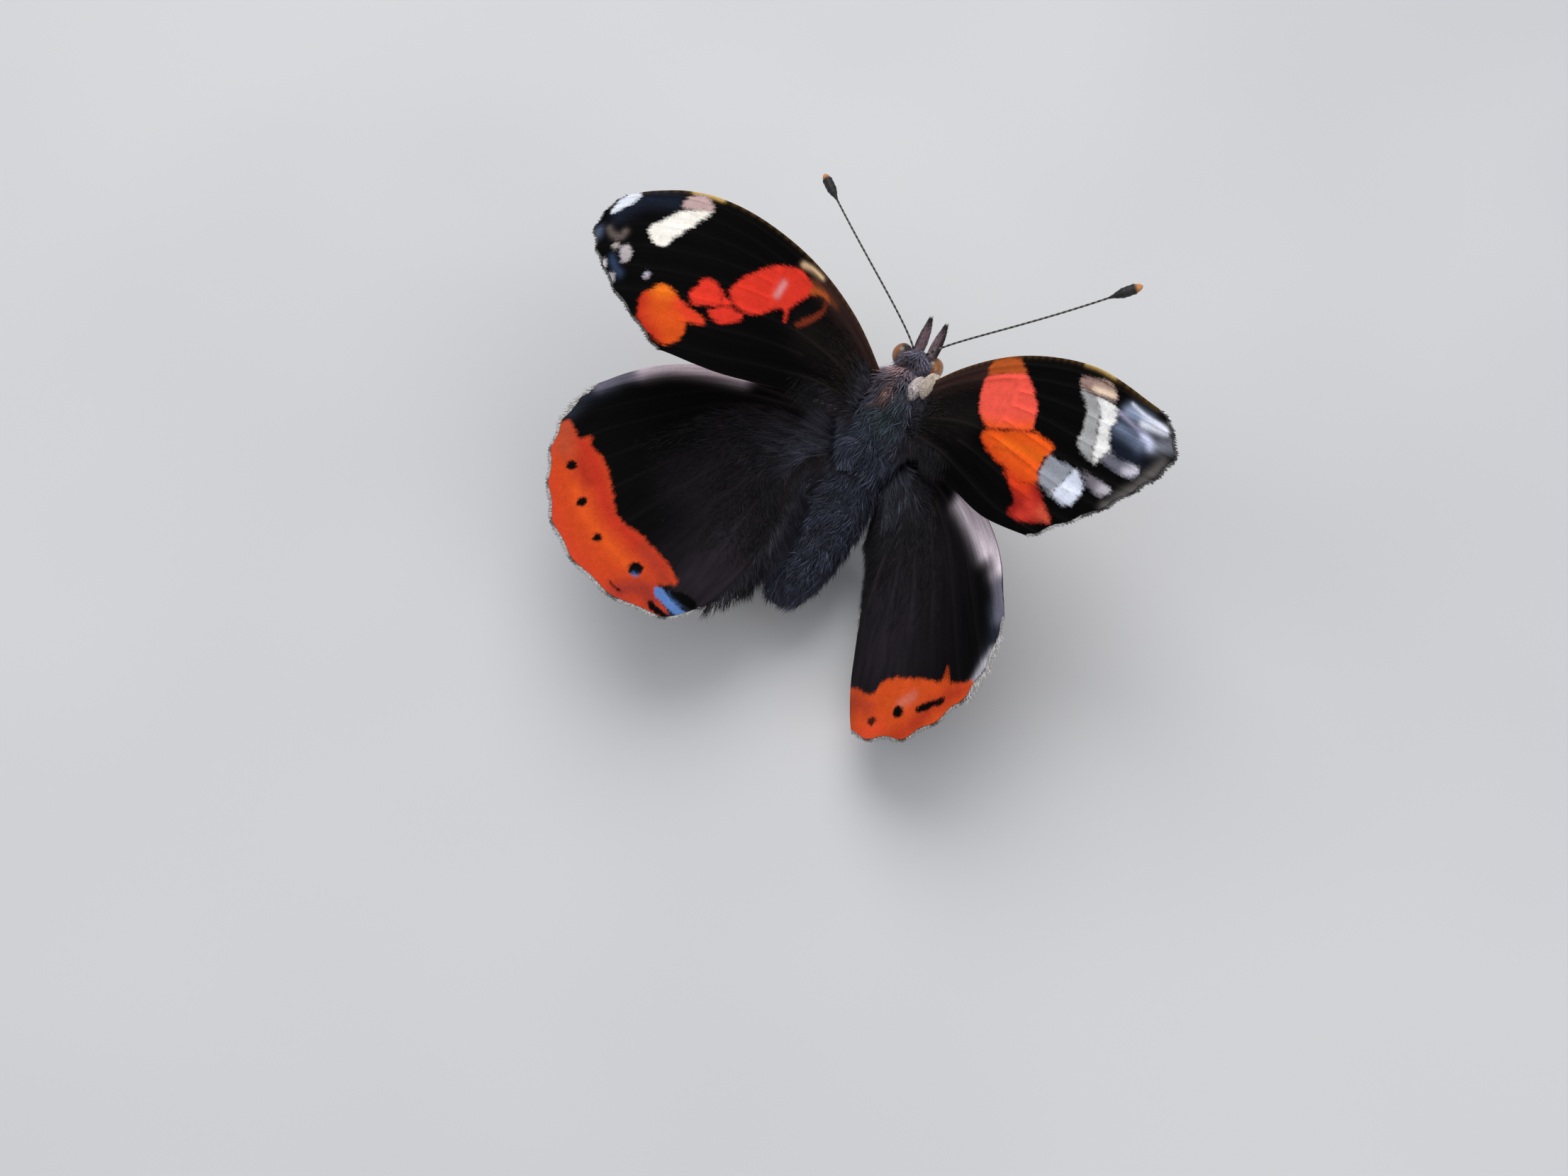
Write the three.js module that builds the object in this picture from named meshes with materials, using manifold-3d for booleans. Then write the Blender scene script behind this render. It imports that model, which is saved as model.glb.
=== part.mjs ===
// Red admiral butterfly (Vanessa atalanta), life size, its wings held up in an uneven V as it suns itself.
// Millimetres, +Z up, head towards -Y, so its left side is +X. The feet stand on z = 0, under the middle.
import * as THREE from 'three';
import { mergeVertices } from 'three/addons/utils/BufferGeometryUtils.js';
import Module from 'manifold-3d';

// Driving dimensions
const GAP = 0.3;                 // clear space kept between neighbouring pieces
const THORAX_HEIGHT = 8.4;       // middle of the thorax above the ground
const BODY_PITCH = 16.8;         // degrees, head end up
const ABDOMEN_PITCH = 6.2;       // degrees above level, so it bends up from the thorax
const THORAX = { width: 5.8, height: 6.2, front: 4.6, back: 4.3 };
const ABDOMEN = { length: 13.0, width: 5.7, height: 5.1, segments: 7 };
const HEAD = { centre: [0, -6.3, -0.35], width: 3.2, length: 2.9, height: 3.0 };
const EYE = { half: [0.84, 0.98, 1.1], out: 1.48, forward: 0.2, up: 0.1 };
const SHAFT_RADIUS = 0.25;       // of a feeler, and of its club
const CLUB = { radius: 0.52, length: 3.1 };
const MEMBRANE = 0.5;            // wing thickness
const VEIN_HEIGHT = 0.17;        // how far a vein stands proud of each face
const VEIN_HALF_WIDTH = 0.36;
const SCALLOP = 0.34;            // how far the margin draws in between two vein ends
const ROWS = 13;                 // steps along each vein
const CELL_ROW = 0.5;            // where along the veins the discal cell ends
const CROSS_VEIN = 0.025;        // half width of the vein that closes the cell, as a share of the wing
const ROOT_REACH = 0.4;          // share of each line searched for the place where the wing leaves the thorax
const FOOT_HEIGHT = 0.2;         // middle of a foot above the ground, under its radius, so its sole is flat
const JOINT_TRIM = 0.34;         // how far each leg piece stops short of its joint

const DARK = { color: 0x17130f, roughness: 0.85, metalness: 0 };
const degrees = THREE.MathUtils.degToRad;
const { lerp, smoothstep, clamp } = THREE.MathUtils;

const wasm = await Module();
wasm.setup();

// Wing plans: each vein runs from the root to the margin, as span and distance to the rear from the hinge.
// The first and last lines are the wing's own edges. A vein's ridge starts its own share of the way out.
const FOREWING = {
  hinge: [1.5, -2.0, 1.0],
  cell: [2, 6],
  veins: [
    { points: [[-1.2, -1.1], [6.6, -2.9], [14.2, -3.1], [22.0, -1.4], [28.2, 2.0]] },
    { ridge: 0, points: [[-1.2, -0.8], [6.6, -2.2], [14.2, -2.3], [22.2, -0.5], [28.9, 2.7]] },
    { ridge: 0, points: [[-1.2, -0.5], [6.8, -1.5], [14.2, -1.2], [22.3, 0.7], [29.5, 3.9]] },
    { ridge: 0.5, points: [[-1.2, -0.2], [6.8, -0.8], [14.0, -0.2], [22.0, 2.2], [29.7, 5.5]] },
    { ridge: 0.5, points: [[-1.2, 0.1], [6.8, 0.0], [13.7, 0.9], [21.2, 3.8], [28.3, 6.9]] },
    { ridge: 0.5, points: [[-1.2, 0.4], [6.7, 0.8], [13.1, 2.0], [20.0, 5.2], [26.6, 7.9]] },
    { ridge: 0, points: [[-1.2, 0.7], [6.4, 1.5], [12.2, 3.2], [18.4, 6.4], [24.3, 9.1]] },
    { ridge: 0.36, points: [[-1.2, 1.0], [5.9, 2.5], [10.9, 4.6], [16.5, 7.7], [21.6, 10.1]] },
    { ridge: 0, points: [[-1.2, 1.3], [5.4, 3.7], [9.8, 6.2], [14.4, 9.0], [18.9, 11.0]] },
    { points: [[-1.2, 1.7], [5.0, 4.9], [9.1, 7.4], [13.4, 9.8], [17.9, 11.2]] },
  ],
};
const HINDWING = {
  hinge: [4.5, 2.5, 0.8],
  cell: null,
  veins: [
    { points: [[-2.8, -1.3], [3.4, -2.5], [9.0, -2.5], [14.4, -1.0], [18.8, 1.9]] },
    { ridge: 0, points: [[-2.8, -0.9], [3.6, -1.6], [9.2, -1.3], [14.6, 0.5], [19.9, 3.6]] },
    { ridge: 0, points: [[-2.8, -0.6], [3.8, -0.9], [9.4, 0.0], [15.1, 2.6], [20.9, 6.0]] },
    { ridge: 0.3, points: [[-2.8, -0.3], [3.8, -0.2], [9.5, 1.5], [15.3, 4.8], [21.2, 8.7]] },
    { ridge: 0.3, points: [[-2.8, 0.0], [3.8, 0.6], [9.4, 3.2], [15.0, 7.3], [20.7, 11.7]] },
    { ridge: 0.3, points: [[-2.8, 0.3], [3.5, 1.6], [8.8, 5.0], [14.1, 9.7], [19.6, 14.9]] },
    { ridge: 0, points: [[-2.8, 0.6], [3.0, 2.6], [7.7, 6.6], [12.4, 12.0], [17.3, 17.7]] },
    { ridge: 0.2, points: [[-2.8, 0.9], [2.4, 3.6], [6.2, 8.4], [9.9, 14.2], [13.6, 20.0]] },
    { ridge: 0, points: [[-2.8, 1.2], [1.6, 4.4], [4.3, 9.6], [6.7, 15.1], [9.3, 20.6]] },
    { ridge: 0, points: [[-2.8, 1.6], [1.1, 4.9], [2.3, 10.0], [4.0, 15.0], [6.4, 18.9]] },
    { points: [[-2.8, 2.1], [0.9, 5.1], [1.2, 9.3], [1.7, 12.6], [2.8, 15.6]] },
  ],
};

// How each wing is held: sweep forwards, lift of the tip, lift of the rear edge, in degrees, and its bends.
// A bend rolls the sheet down past a line, given by its heading, distance from the hinge and curvature.
const POSES = [
  { name: 'forewing_left', plan: FOREWING, side: 1, sweep: 13.0, lift: 53.6, twist: 6.9, color: 0x15110e,
    bends: [{ heading: 32.6, from: 13.4, curvature: 0.054 }, { heading: 0, from: 3, curvature: 0.025 }] },
  { name: 'forewing_right', plan: FOREWING, side: -1, sweep: 10.0, lift: 49.3, twist: -11.3, color: 0x15110e,
    bends: [{ heading: 52.3, from: 14.3, curvature: 0.045 }, { heading: 0, from: 3, curvature: 0.005 }] },
  { name: 'hindwing_left', plan: HINDWING, side: 1, sweep: -12.2, lift: 26.3, twist: 22.9, color: 0x1d1613,
    bends: [{ heading: 139, from: 2.6, curvature: 0.05 }, { heading: 45.2, from: 15.3, curvature: 0.013 },
      { heading: 0, from: 3, curvature: 0.014 }] },
  { name: 'hindwing_right', plan: HINDWING, side: -1, sweep: -21.3, lift: 42.8, twist: -0.6, color: 0x1d1613,
    bends: [{ heading: 131, from: 1.9, curvature: 0.3 }, { heading: 46.5, from: 14.8, curvature: 0.016 },
      { heading: 0, from: 3, curvature: 0.012 }] },
];

// Each antenna's way from the crown: where it heads first, where it turns out, and its tip
const ANTENNAE = {
  left: { rise: [1.9, -8.6, 2.2], middle: [7.9, -12.0, 2.4], tip: [15.0, -17.5, 1.4] },
  right: { rise: [-2.0, -8.8, 2.1], middle: [-7.0, -12.0, 2.4], tip: [-14.3, -19.3, 3.5] },
};

// Closed mesh from rings of points, with a fan of triangles over each end
function loft(rings) {
  const sides = rings[0].length;
  const vertices = rings.flat();
  const faces = [];
  for (let r = 0; r + 1 < rings.length; r++) {
    for (let s = 0; s < sides; s++) {
      const a = r * sides + s;
      const b = r * sides + (s + 1) % sides;
      faces.push([a, b, b + sides], [a, b + sides, a + sides]);
    }
  }
  for (const [ring, flip] of [[0, true], [rings.length - 1, false]]) {
    const middle = new THREE.Vector3();
    rings[ring].forEach((p) => middle.addScaledVector(p, 1 / sides));
    const tip = vertices.push(middle) - 1;
    for (let s = 0; s < sides; s++) {
      const a = ring * sides + s;
      const b = ring * sides + (s + 1) % sides;
      faces.push(flip ? [b, a, tip] : [a, b, tip]);
    }
  }
  return closedGeometry(vertices, faces);
}

// Geometry whose faces are turned to point out, whichever way round they were listed
function closedGeometry(vertices, faces) {
  let volume = 0;
  for (const [a, b, c] of faces) {
    volume += vertices[a].dot(new THREE.Vector3().crossVectors(vertices[b], vertices[c]));
  }
  const turned = volume < 0 ? faces.map(([a, b, c]) => [a, c, b]) : faces;
  const geometry = new THREE.BufferGeometry();
  const numbers = vertices.flatMap((p) => [p.x, p.y, p.z]);
  geometry.setAttribute('position', new THREE.Float32BufferAttribute(numbers, 3));
  geometry.setIndex(turned.flat());
  return geometry;
}

// Round-sided tube along points, with a radius at each and its cross-section kept from twisting
function tube(points, radii, sides = 8, shape = (p) => p) {
  let across = new THREE.Vector3(0, 0, 1);
  const rings = points.map((point, i) => {
    const before = points[Math.max(i - 1, 0)];
    const after = points[Math.min(i + 1, points.length - 1)];
    const along = after.clone().sub(before).normalize();
    if (Math.abs(across.dot(along)) > 0.95) {
      across = new THREE.Vector3(1, 0, 0);
    }
    across.addScaledVector(along, -across.dot(along)).normalize();
    const other = new THREE.Vector3().crossVectors(along, across);
    return Array.from({ length: sides }, (_, s) => {
      const turn = (s + 0.5) / sides * 2 * Math.PI;
      const p = point.clone().addScaledVector(across, radii[i] * Math.cos(turn));
      return shape(p.addScaledVector(other, radii[i] * Math.sin(turn)));
    });
  });
  return loft(rings);
}

// Body frame: y to the rear and z up from the middle of the thorax, before the body is pitched
const bodyTurn = new THREE.Matrix4().makeRotationX(-degrees(BODY_PITCH))
  .premultiply(new THREE.Matrix4().makeTranslation(0, 0, THORAX_HEIGHT));
const abdomenStart = new THREE.Vector3(0, THORAX.back + GAP, -0.35).applyMatrix4(bodyTurn);
const abdomenTurn = new THREE.Matrix4().makeRotationX(-degrees(ABDOMEN_PITCH)).setPosition(abdomenStart);

// Half width and half height of the thorax at a place along it, drawn in at the neck and the waist
function thoraxGirth(y) {
  const t = clamp((y + THORAX.front) / (THORAX.front + THORAX.back), 0, 1);
  const swell = Math.sin(Math.PI * lerp(0.14, 0.78, t)) ** 0.8;
  return [THORAX.width / 2 * swell, THORAX.height / 2 * swell];
}

// Distance measure of a body-frame point outside the thorax, in mm, less than zero inside
function outsideThorax(p) {
  const [across, high] = thoraxGirth(p.y);
  const radial = Math.hypot(p.x / across, p.z / high);
  const beside = (radial - 1) * Math.min(across, high);
  return Math.max(beside, -THORAX.front - p.y, p.y - THORAX.back);
}

function outsideHead(p) {
  const [x, y, z] = HEAD.centre;
  const scaled = Math.hypot((p.x - x) / HEAD.width, (p.y - y) / HEAD.length, (p.z - z) / HEAD.height) * 2;
  return (scaled - 1) * HEAD.width / 2;
}

// Last place on a path from inside a body where the path is still closer to it than the gap
function leave(outside, path, gap = GAP) {
  let inside = 0;
  let clear = 1;
  for (let i = 0; i < 30; i++) {
    const middle = (inside + clear) / 2;
    if (outside(path(middle)) < gap) {
      inside = middle;
    } else {
      clear = middle;
    }
  }
  return clear;
}

function bodyRings(from, to, steps, sides, girth) {
  return Array.from({ length: steps + 1 }, (_, i) => {
    const y = lerp(from, to, i / steps);
    const [across, high, rise = 0] = girth(y);
    return Array.from({ length: sides }, (_, s) => {
      const turn = (s + 0.5) / sides * 2 * Math.PI;
      return new THREE.Vector3(across * Math.cos(turn), y, rise + high * Math.sin(turn));
    });
  });
}

const thorax = () => loft(bodyRings(-THORAX.front, THORAX.back, 14, 20, thoraxGirth));

// Abdomen: seven rings that swell a little between their joints, tapering to a blunt end
function abdomen() {
  const stepsEach = 4;
  const steps = ABDOMEN.segments * stepsEach;
  const girth = (y) => {
    const t = y / ABDOMEN.length;
    const behind = Math.sqrt(Math.max(1 - (Math.max(t - 0.3, 0) / 0.72) ** 2.4, 0.02));
    const taper = behind * lerp(0.7, 1, smoothstep(t, 0, 0.3));
    const ring = 1 + 0.035 * Math.sin(Math.PI * ((t * ABDOMEN.segments) % 1));
    return [ABDOMEN.width / 2 * taper * ring, ABDOMEN.height / 2 * taper * ring];
  };
  const lean = Math.tan(degrees(BODY_PITCH - ABDOMEN_PITCH));
  const rings = bodyRings(0, ABDOMEN.length, steps, 16, girth);
  for (const p of rings.flat()) {
    p.y += p.z * lean * Math.max(1 - p.y / 3, 0);
  }
  return loft(rings);
}

function toManifold(geometry) {
  const bare = geometry.clone();
  bare.deleteAttribute('normal');
  bare.deleteAttribute('uv');
  const merged = mergeVertices(bare, 1e-5);
  return new wasm.Manifold(new wasm.Mesh({
    numProp: 3,
    vertProperties: merged.attributes.position.array,
    triVerts: new Uint32Array(merged.index.array),
  }));
}

// Back to a geometry, keeping the largest closed piece
function fromManifold(solid) {
  const whole = solid.decompose().sort((a, b) => b.volume() - a.volume())[0].getMesh();
  const geometry = new THREE.BufferGeometry();
  geometry.setAttribute('position', new THREE.BufferAttribute(new Float32Array(whole.vertProperties), 3));
  geometry.setIndex(Array.from(whole.triVerts));
  return geometry;
}

const eyeCentre = (side) => new THREE.Vector3(...HEAD.centre)
  .add(new THREE.Vector3(side * EYE.out, -EYE.forward, EYE.up));

const egg = (half, at, across = 16, high = 12) => new THREE.SphereGeometry(1, across, high)
  .scale(...half).translate(at.x, at.y, at.z);

// Head: an egg cut flat where it meets the thorax, with a hollow on each side for its eye
function head() {
  const middle = new THREE.Vector3(...HEAD.centre);
  const skull = egg([HEAD.width / 2, HEAD.length / 2, HEAD.height / 2], middle, 20, 16);
  const behind = new THREE.BoxGeometry(6, 4, 6).translate(0, -THORAX.front - GAP + 2, 0);
  let solid = toManifold(skull).subtract(toManifold(behind));
  for (const side of [1, -1]) {
    solid = solid.subtract(toManifold(egg(EYE.half.map((x) => x + GAP), eyeCentre(side))));
  }
  return fromManifold(solid);
}

const eye = (side) => egg(EYE.half, eyeCentre(side));

// Hairy palps reach up and forwards from below the face like a short beak
function palp(side) {
  const root = new THREE.Vector3(side * 0.62, -6.7, -1.2);
  const bend = new THREE.Vector3(side * 0.66, -8.8, -1.0);
  const tip = new THREE.Vector3(side * 0.74, -10.3, 0.05);
  const curve = new THREE.QuadraticBezierCurve3(root, bend, tip);
  const from = leave(outsideHead, (t) => curve.getPoint(t), GAP + 0.22);
  const points = Array.from({ length: 7 }, (_, i) => curve.getPoint(lerp(from, 1, i / 6)));
  return tube(points, [0.38, 0.44, 0.45, 0.43, 0.38, 0.3, 0.14], 8);
}

// Antennae: thin shafts that leave the crown between the eyes and spread in a wide V, ending in clubs
function antenna(side, path) {
  const root = [side * 0.45, -6.9, 0.65];
  const corners = [root, path.rise, path.middle, path.tip].map((p) => new THREE.Vector3(...p));
  const curve = new THREE.CubicBezierCurve3(...corners);
  const from = leave(outsideHead, (t) => curve.getPoint(t), GAP + 0.08);
  const steps = 18;
  const length = curve.getLength();
  const points = [];
  const radii = [];
  for (let i = 0; i <= steps; i++) {
    const t = lerp(from, 1, 1 - (1 - i / steps) ** 1.35);
    const fromTip = (1 - t) * length;
    const swell = smoothstep(CLUB.length - fromTip, 0, 1.5);
    const roundEnd = Math.sqrt(clamp(fromTip / 0.7, 0.12, 1));
    points.push(curve.getPoint(t));
    radii.push(lerp(SHAFT_RADIUS, CLUB.radius, swell) * roundEnd);
  }
  return tube(points, radii, 8);
}

// A wing point: the flat plan is rolled along each bend, then swept, twisted and lifted on its hinge
function wingPoint(pose, span, rear, height) {
  const p = new THREE.Vector3(span, rear, height);
  for (const { heading, from, curvature } of pose.bends) {
    const way = new THREE.Vector3(Math.cos(degrees(heading)), Math.sin(degrees(heading)), 0);
    const past = Math.max(p.dot(way) - from, 0);
    const turn = past * curvature;
    const radius = 1 / curvature;
    const z = p.z;
    p.addScaledVector(way, (radius + z) * Math.sin(turn) - past);
    p.z = z + (radius + z) * (Math.cos(turn) - 1);
  }
  p.applyAxisAngle(new THREE.Vector3(1, 0, 0), degrees(pose.twist));
  p.applyAxisAngle(new THREE.Vector3(0, 0, 1), -degrees(pose.sweep));
  p.applyAxisAngle(new THREE.Vector3(0, 1, 0), -degrees(pose.lift));
  p.add(new THREE.Vector3(...pose.plan.hinge));
  p.x *= pose.side;
  return p;
}

// Lines across a wing plan: each vein with a flank on either side, and one midway between two veins
function wingColumns(plan) {
  const curves = plan.veins.map(({ points }) => {
    return new THREE.SplineCurve(points.map(([x, y]) => new THREE.Vector2(x, y)));
  });
  const last = curves.length - 1;
  const columns = [];
  const between = (a, b, share) => (t) => {
    const from = curves[a].getPoint(t);
    const to = curves[b].getPoint(t);
    return from.lerp(to, share(from.distanceTo(to)));
  };
  curves.forEach((curve, i) => {
    const edge = i === 0 || i === last;
    columns.push({ at: (t) => curve.getPoint(t), vein: i, ridge: edge ? null : plan.veins[i].ridge });
    if (i === last) {
      return;
    }
    const flank = (gap) => Math.min(VEIN_HALF_WIDTH / gap, 0.3);
    columns.push({ at: between(i, i + 1, flank), vein: i });
    columns.push({ at: between(i, i + 1, () => 0.5), vein: i, middle: true });
    columns.push({ at: between(i, i + 1, (gap) => 1 - flank(gap)), vein: i });
  });
  return { columns, curves };
}

// A wing: both faces share one net of lines, so that its triangles match above and below
function wing(pose) {
  const { columns, curves } = wingColumns(pose.plan);
  const { cell } = pose.plan;
  const rows = Array.from({ length: ROWS + 1 }, (_, i) => i / ROWS)
    .filter((t) => Math.abs(t - CELL_ROW) > 0.045)
    .concat(cell ? [CELL_ROW - CROSS_VEIN, CELL_ROW, CELL_ROW + CROSS_VEIN] : [CELL_ROW])
    .sort((a, b) => a - b);
  const top = [];
  const bottom = [];
  for (const column of columns) {
    const bothFaces = (t) => {
      const p = column.at(t);
      return [MEMBRANE / 2, -MEMBRANE / 2].map((h) => wingPoint(pose, p.x, p.y, h));
    };
    const outside = (pair) => Math.min(...pair.map(outsideThorax));
    const root = leave(outside, (t) => bothFaces(t * ROOT_REACH)) * ROOT_REACH;
    for (const row of rows) {
      const t = lerp(root, 1, row);
      const p = column.at(t);
      const next = curves[Math.min(column.vein + 1, curves.length - 1)];
      const gap = curves[column.vein].getPoint(t).distanceTo(next.getPoint(t));
      if (row === 1 && column.middle) {
        const inwards = column.at(0.9).sub(p).normalize();
        p.addScaledVector(inwards, SCALLOP);
      }
      const room = smoothstep(gap, 0.25, 0.9);
      const onVein = column.ridge !== undefined && column.ridge !== null && row >= column.ridge;
      const onCross = cell && row === CELL_ROW && column.vein >= cell[0] && column.vein < cell[1];
      const ridge = onVein || onCross ? VEIN_HEIGHT * room * lerp(1, 0.5, row) : 0;
      top.push(wingPoint(pose, p.x, p.y, MEMBRANE / 2 + ridge));
      bottom.push(wingPoint(pose, p.x, p.y, -MEMBRANE / 2 - ridge));
    }
  }
  return slab(top, bottom, columns.length, rows.length);
}

// Closes two matching nets of points into one thin body
function slab(top, bottom, across, along) {
  const under = top.length;
  const faces = [];
  for (let c = 0; c + 1 < across; c++) {
    for (let r = 0; r + 1 < along; r++) {
      const a = c * along + r;
      const corners = [a, a + along, a + along + 1, a + 1];
      const [p, q, s, t] = corners;
      faces.push([p, q, s], [p, s, t], [under + p, under + s, under + q], [under + p, under + t, under + s]);
    }
  }
  const count = (length, place) => Array.from({ length }, (_, i) => place(i));
  const rim = [
    ...count(along, (i) => i),
    ...count(across - 1, (i) => (i + 2) * along - 1),
    ...count(along - 1, (i) => across * along - 2 - i),
    ...count(across - 2, (i) => (across - 2 - i) * along),
  ];
  rim.forEach((a, i) => {
    const b = rim[(i + 1) % rim.length];
    faces.push([a, b, under + b], [a, under + b, under + a]);
  });
  return closedGeometry([...top, ...bottom], faces);
}

// Legs: thigh, shin and foot, each straight and tapered. The foot lies along the ground on a small flat.
const LEGS = [
  { name: 'midleg', root: [1.2, -0.4, -2], knee: [4.6, -3.4, 6.2],
    ankle: [6.9, -5.6, 1.5], toe: [8.1, -8.8] },
  { name: 'hindleg', root: [1.1, 2, -2.2], knee: [4.4, 4.2, 4.1],
    ankle: [6.7, 7.4, 1.4], toe: [8.3, 10.6] },
];
const aboveGround = (p) => p.setZ(Math.max(p.z, 0));

function legPiece(from, to, radii, trimFrom, trimTo) {
  const way = to.clone().sub(from).normalize();
  const start = from.clone().addScaledVector(way, trimFrom);
  const end = to.clone().addScaledVector(way, -trimTo);
  const points = radii.map((_, i) => start.clone().lerp(end, i / (radii.length - 1)));
  return tube(points, radii, 8);
}

function legPieces(leg, side) {
  const place = ([x, y, z = FOOT_HEIGHT]) => new THREE.Vector3(side * x, y, z);
  const root = place(leg.root).applyMatrix4(bodyTurn);
  const [knee, ankle, toe] = [leg.knee, leg.ankle, leg.toe].map(place);
  const toBody = bodyTurn.clone().invert();
  const from = leave(outsideThorax, (t) => root.clone().lerp(knee, t).applyMatrix4(toBody), GAP + 0.25);
  const hip = root.clone().lerp(knee, from);
  const heel = new THREE.Vector3().lerpVectors(ankle, toe, 0.34).setZ(FOOT_HEIGHT);
  const down = [0.12, 0.6].map((share) => ankle.clone().lerp(heel, share));
  const sole = [...down, heel, heel.clone().lerp(toe, 0.5), toe];
  return {
    femur: legPiece(hip, knee, [0.42, 0.5, 0.44, 0.3], 0, JOINT_TRIM),
    tibia: legPiece(knee, ankle, [0.3, 0.34, 0.33, 0.28], JOINT_TRIM, JOINT_TRIM),
    tarsus: tube(sole, [0.26, 0.28, 0.3, 0.3, 0.27], 8, aboveGround),
  };
}

// The front pair are small brushes folded against the breast
function foreleg(side) {
  const root = new THREE.Vector3(side * 0.9, -2.8, -1.6);
  const elbow = new THREE.Vector3(side * 1.3, -4.8, -3.3);
  const tip = new THREE.Vector3(side * 0.7, -7.3, -2.75);
  const curve = new THREE.QuadraticBezierCurve3(root, elbow, tip);
  const from = leave(outsideThorax, (t) => curve.getPoint(t), GAP + 0.3);
  const points = Array.from({ length: 7 }, (_, i) => curve.getPoint(lerp(from, 1, i / 6)));
  return tube(points, [0.36, 0.42, 0.44, 0.42, 0.38, 0.32, 0.2], 8);
}

// Assembly
const butterfly = new THREE.Group();

function add(name, geometry, finish, matrix = new THREE.Matrix4()) {
  const mesh = new THREE.Mesh(geometry, new THREE.MeshStandardMaterial({ ...DARK, ...finish }));
  mesh.name = name;
  matrix.decompose(mesh.position, mesh.quaternion, mesh.scale);
  butterfly.add(mesh);
}

add('thorax', thorax(), { color: 0x1b1c1e }, bodyTurn);
add('abdomen', abdomen(), { color: 0x16171b }, abdomenTurn);
add('head', head(), { color: 0x2a2320 }, bodyTurn);
for (const pose of POSES) {
  add(pose.name, wing(pose), { color: pose.color, roughness: 0.7 }, bodyTurn);
}
for (const [word, side] of [['left', 1], ['right', -1]]) {
  add(`eye_${word}`, eye(side), { color: 0x8a4f1e, roughness: 0.25 }, bodyTurn);
  add(`palp_${word}`, palp(side), { color: 0x3a3036 }, bodyTurn);
  add(`antenna_${word}`, antenna(side, ANTENNAE[word]), { color: 0x1a1818, roughness: 0.5 }, bodyTurn);
  add(`foreleg_${word}`, foreleg(side), { color: 0x2b2420 }, bodyTurn);
  for (const leg of LEGS) {
    for (const [piece, geometry] of Object.entries(legPieces(leg, side))) {
      add(`${leg.name}_${piece}_${word}`, geometry, { color: 0x4a3a2c });
    }
  }
}

// The whole is moved over so that its origin is the middle of its underside
const box = new THREE.Box3().setFromObject(butterfly, true);
const centre = box.getCenter(new THREE.Vector3());
butterfly.position.set(-centre.x, -centre.y, -box.min.z);

export default butterfly;
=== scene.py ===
"""Dresses the red admiral butterfly: scaled wings, hairy body, faceted eyes, ringed feelers and legs."""

import logging
import math
from dataclasses import dataclass, field
from enum import Enum
from typing import Sequence

import bmesh
import bpy
import numpy as np
from bmesh.types import BMesh, BMFace, BMVert
from bpy.types import Material, Mesh, Node, NodeSocket, NodeTree, Object
from mathutils import Matrix, Vector

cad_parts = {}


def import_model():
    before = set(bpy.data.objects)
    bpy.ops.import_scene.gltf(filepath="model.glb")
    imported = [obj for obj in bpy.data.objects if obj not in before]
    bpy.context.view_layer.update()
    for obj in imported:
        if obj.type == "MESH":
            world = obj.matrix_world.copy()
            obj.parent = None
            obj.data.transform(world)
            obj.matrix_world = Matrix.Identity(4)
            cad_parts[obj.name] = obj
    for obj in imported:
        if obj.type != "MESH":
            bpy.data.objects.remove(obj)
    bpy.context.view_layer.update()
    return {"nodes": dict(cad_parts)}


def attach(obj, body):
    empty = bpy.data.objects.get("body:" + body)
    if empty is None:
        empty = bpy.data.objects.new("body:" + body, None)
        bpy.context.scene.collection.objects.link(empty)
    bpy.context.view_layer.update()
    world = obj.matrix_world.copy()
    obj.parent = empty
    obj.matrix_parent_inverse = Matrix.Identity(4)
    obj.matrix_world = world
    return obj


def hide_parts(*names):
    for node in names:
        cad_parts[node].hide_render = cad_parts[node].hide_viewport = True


LOG = logging.getLogger("red_admiral")
MM = 0.001

Array = np.ndarray
Colour = tuple[float, float, float]
Point = tuple[float, ...]

BODY = "root"
THORAX_ENDS = (-4.6, 4.3)  # the solid thorax, in millimetres along itself
THORAX_HALF = (2.9, 3.1)

HAIR_SINK = 0.03  # how deep a tuft's root sits in its skin, in millimetres
HAIR_FLATNESS = 0.6  # thickness of a tuft as a share of its width
HAIR_DROOP = 0.42  # how far a tuft bends back towards the skin
# painted shade: tufts darken towards their roots as if in the coat's own shadow, and brighten towards their tips
ROOT_PAINTED_SHADE = 0.4  # brightness of a tuft at its root
PATCH_SPREAD = (0.001, 0.0026)  # size of a tuft on the map of its skin

ROOT_DEPTH = 0.75  # how deep a wing's root sits in the thorax, in millimetres
VEIN_WIDTH, VEIN_NARROWING = 0.2, 0.1
VEIN_HEIGHT, VEIN_LOWERING = 0.13, 0.06
FOLD_HEIGHT, RIPPLE_HEIGHT = 0.07, 0.04
FRINGE_DARK, FRINGE_PALE = (0.008, 0.006, 0.006), (0.8, 0.77, 0.75)
UNDER_BROWN = (0.05, 0.03, 0.018)
NOWHERE = -9.0  # depth in a marking that isn't there
HUE_SHARPNESS = 11  # how sharply one marking's colour gives way to the next one's


class Side(Enum):
    """Which side of the insect a paired piece belongs to."""

    LEFT = 1
    RIGHT = -1

    @property
    def word(self) -> str:
        """The side's name as the solids spell it."""
        return self.name.lower()

    def of(self, points: Sequence) -> Array:
        """Puts points that are given for the left side on this side."""
        return np.asarray(points, float) * (self.value, 1, 1)


class Slot(Enum):
    """Material slot names that the hair pieces are given but do not use."""

    SCALES = "wing_scales"
    HAIR = "body_hair"
    EYE = "eye"
    FEELER = "feeler"
    LEG = "leg"


# Curves and smooth steps


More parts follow.
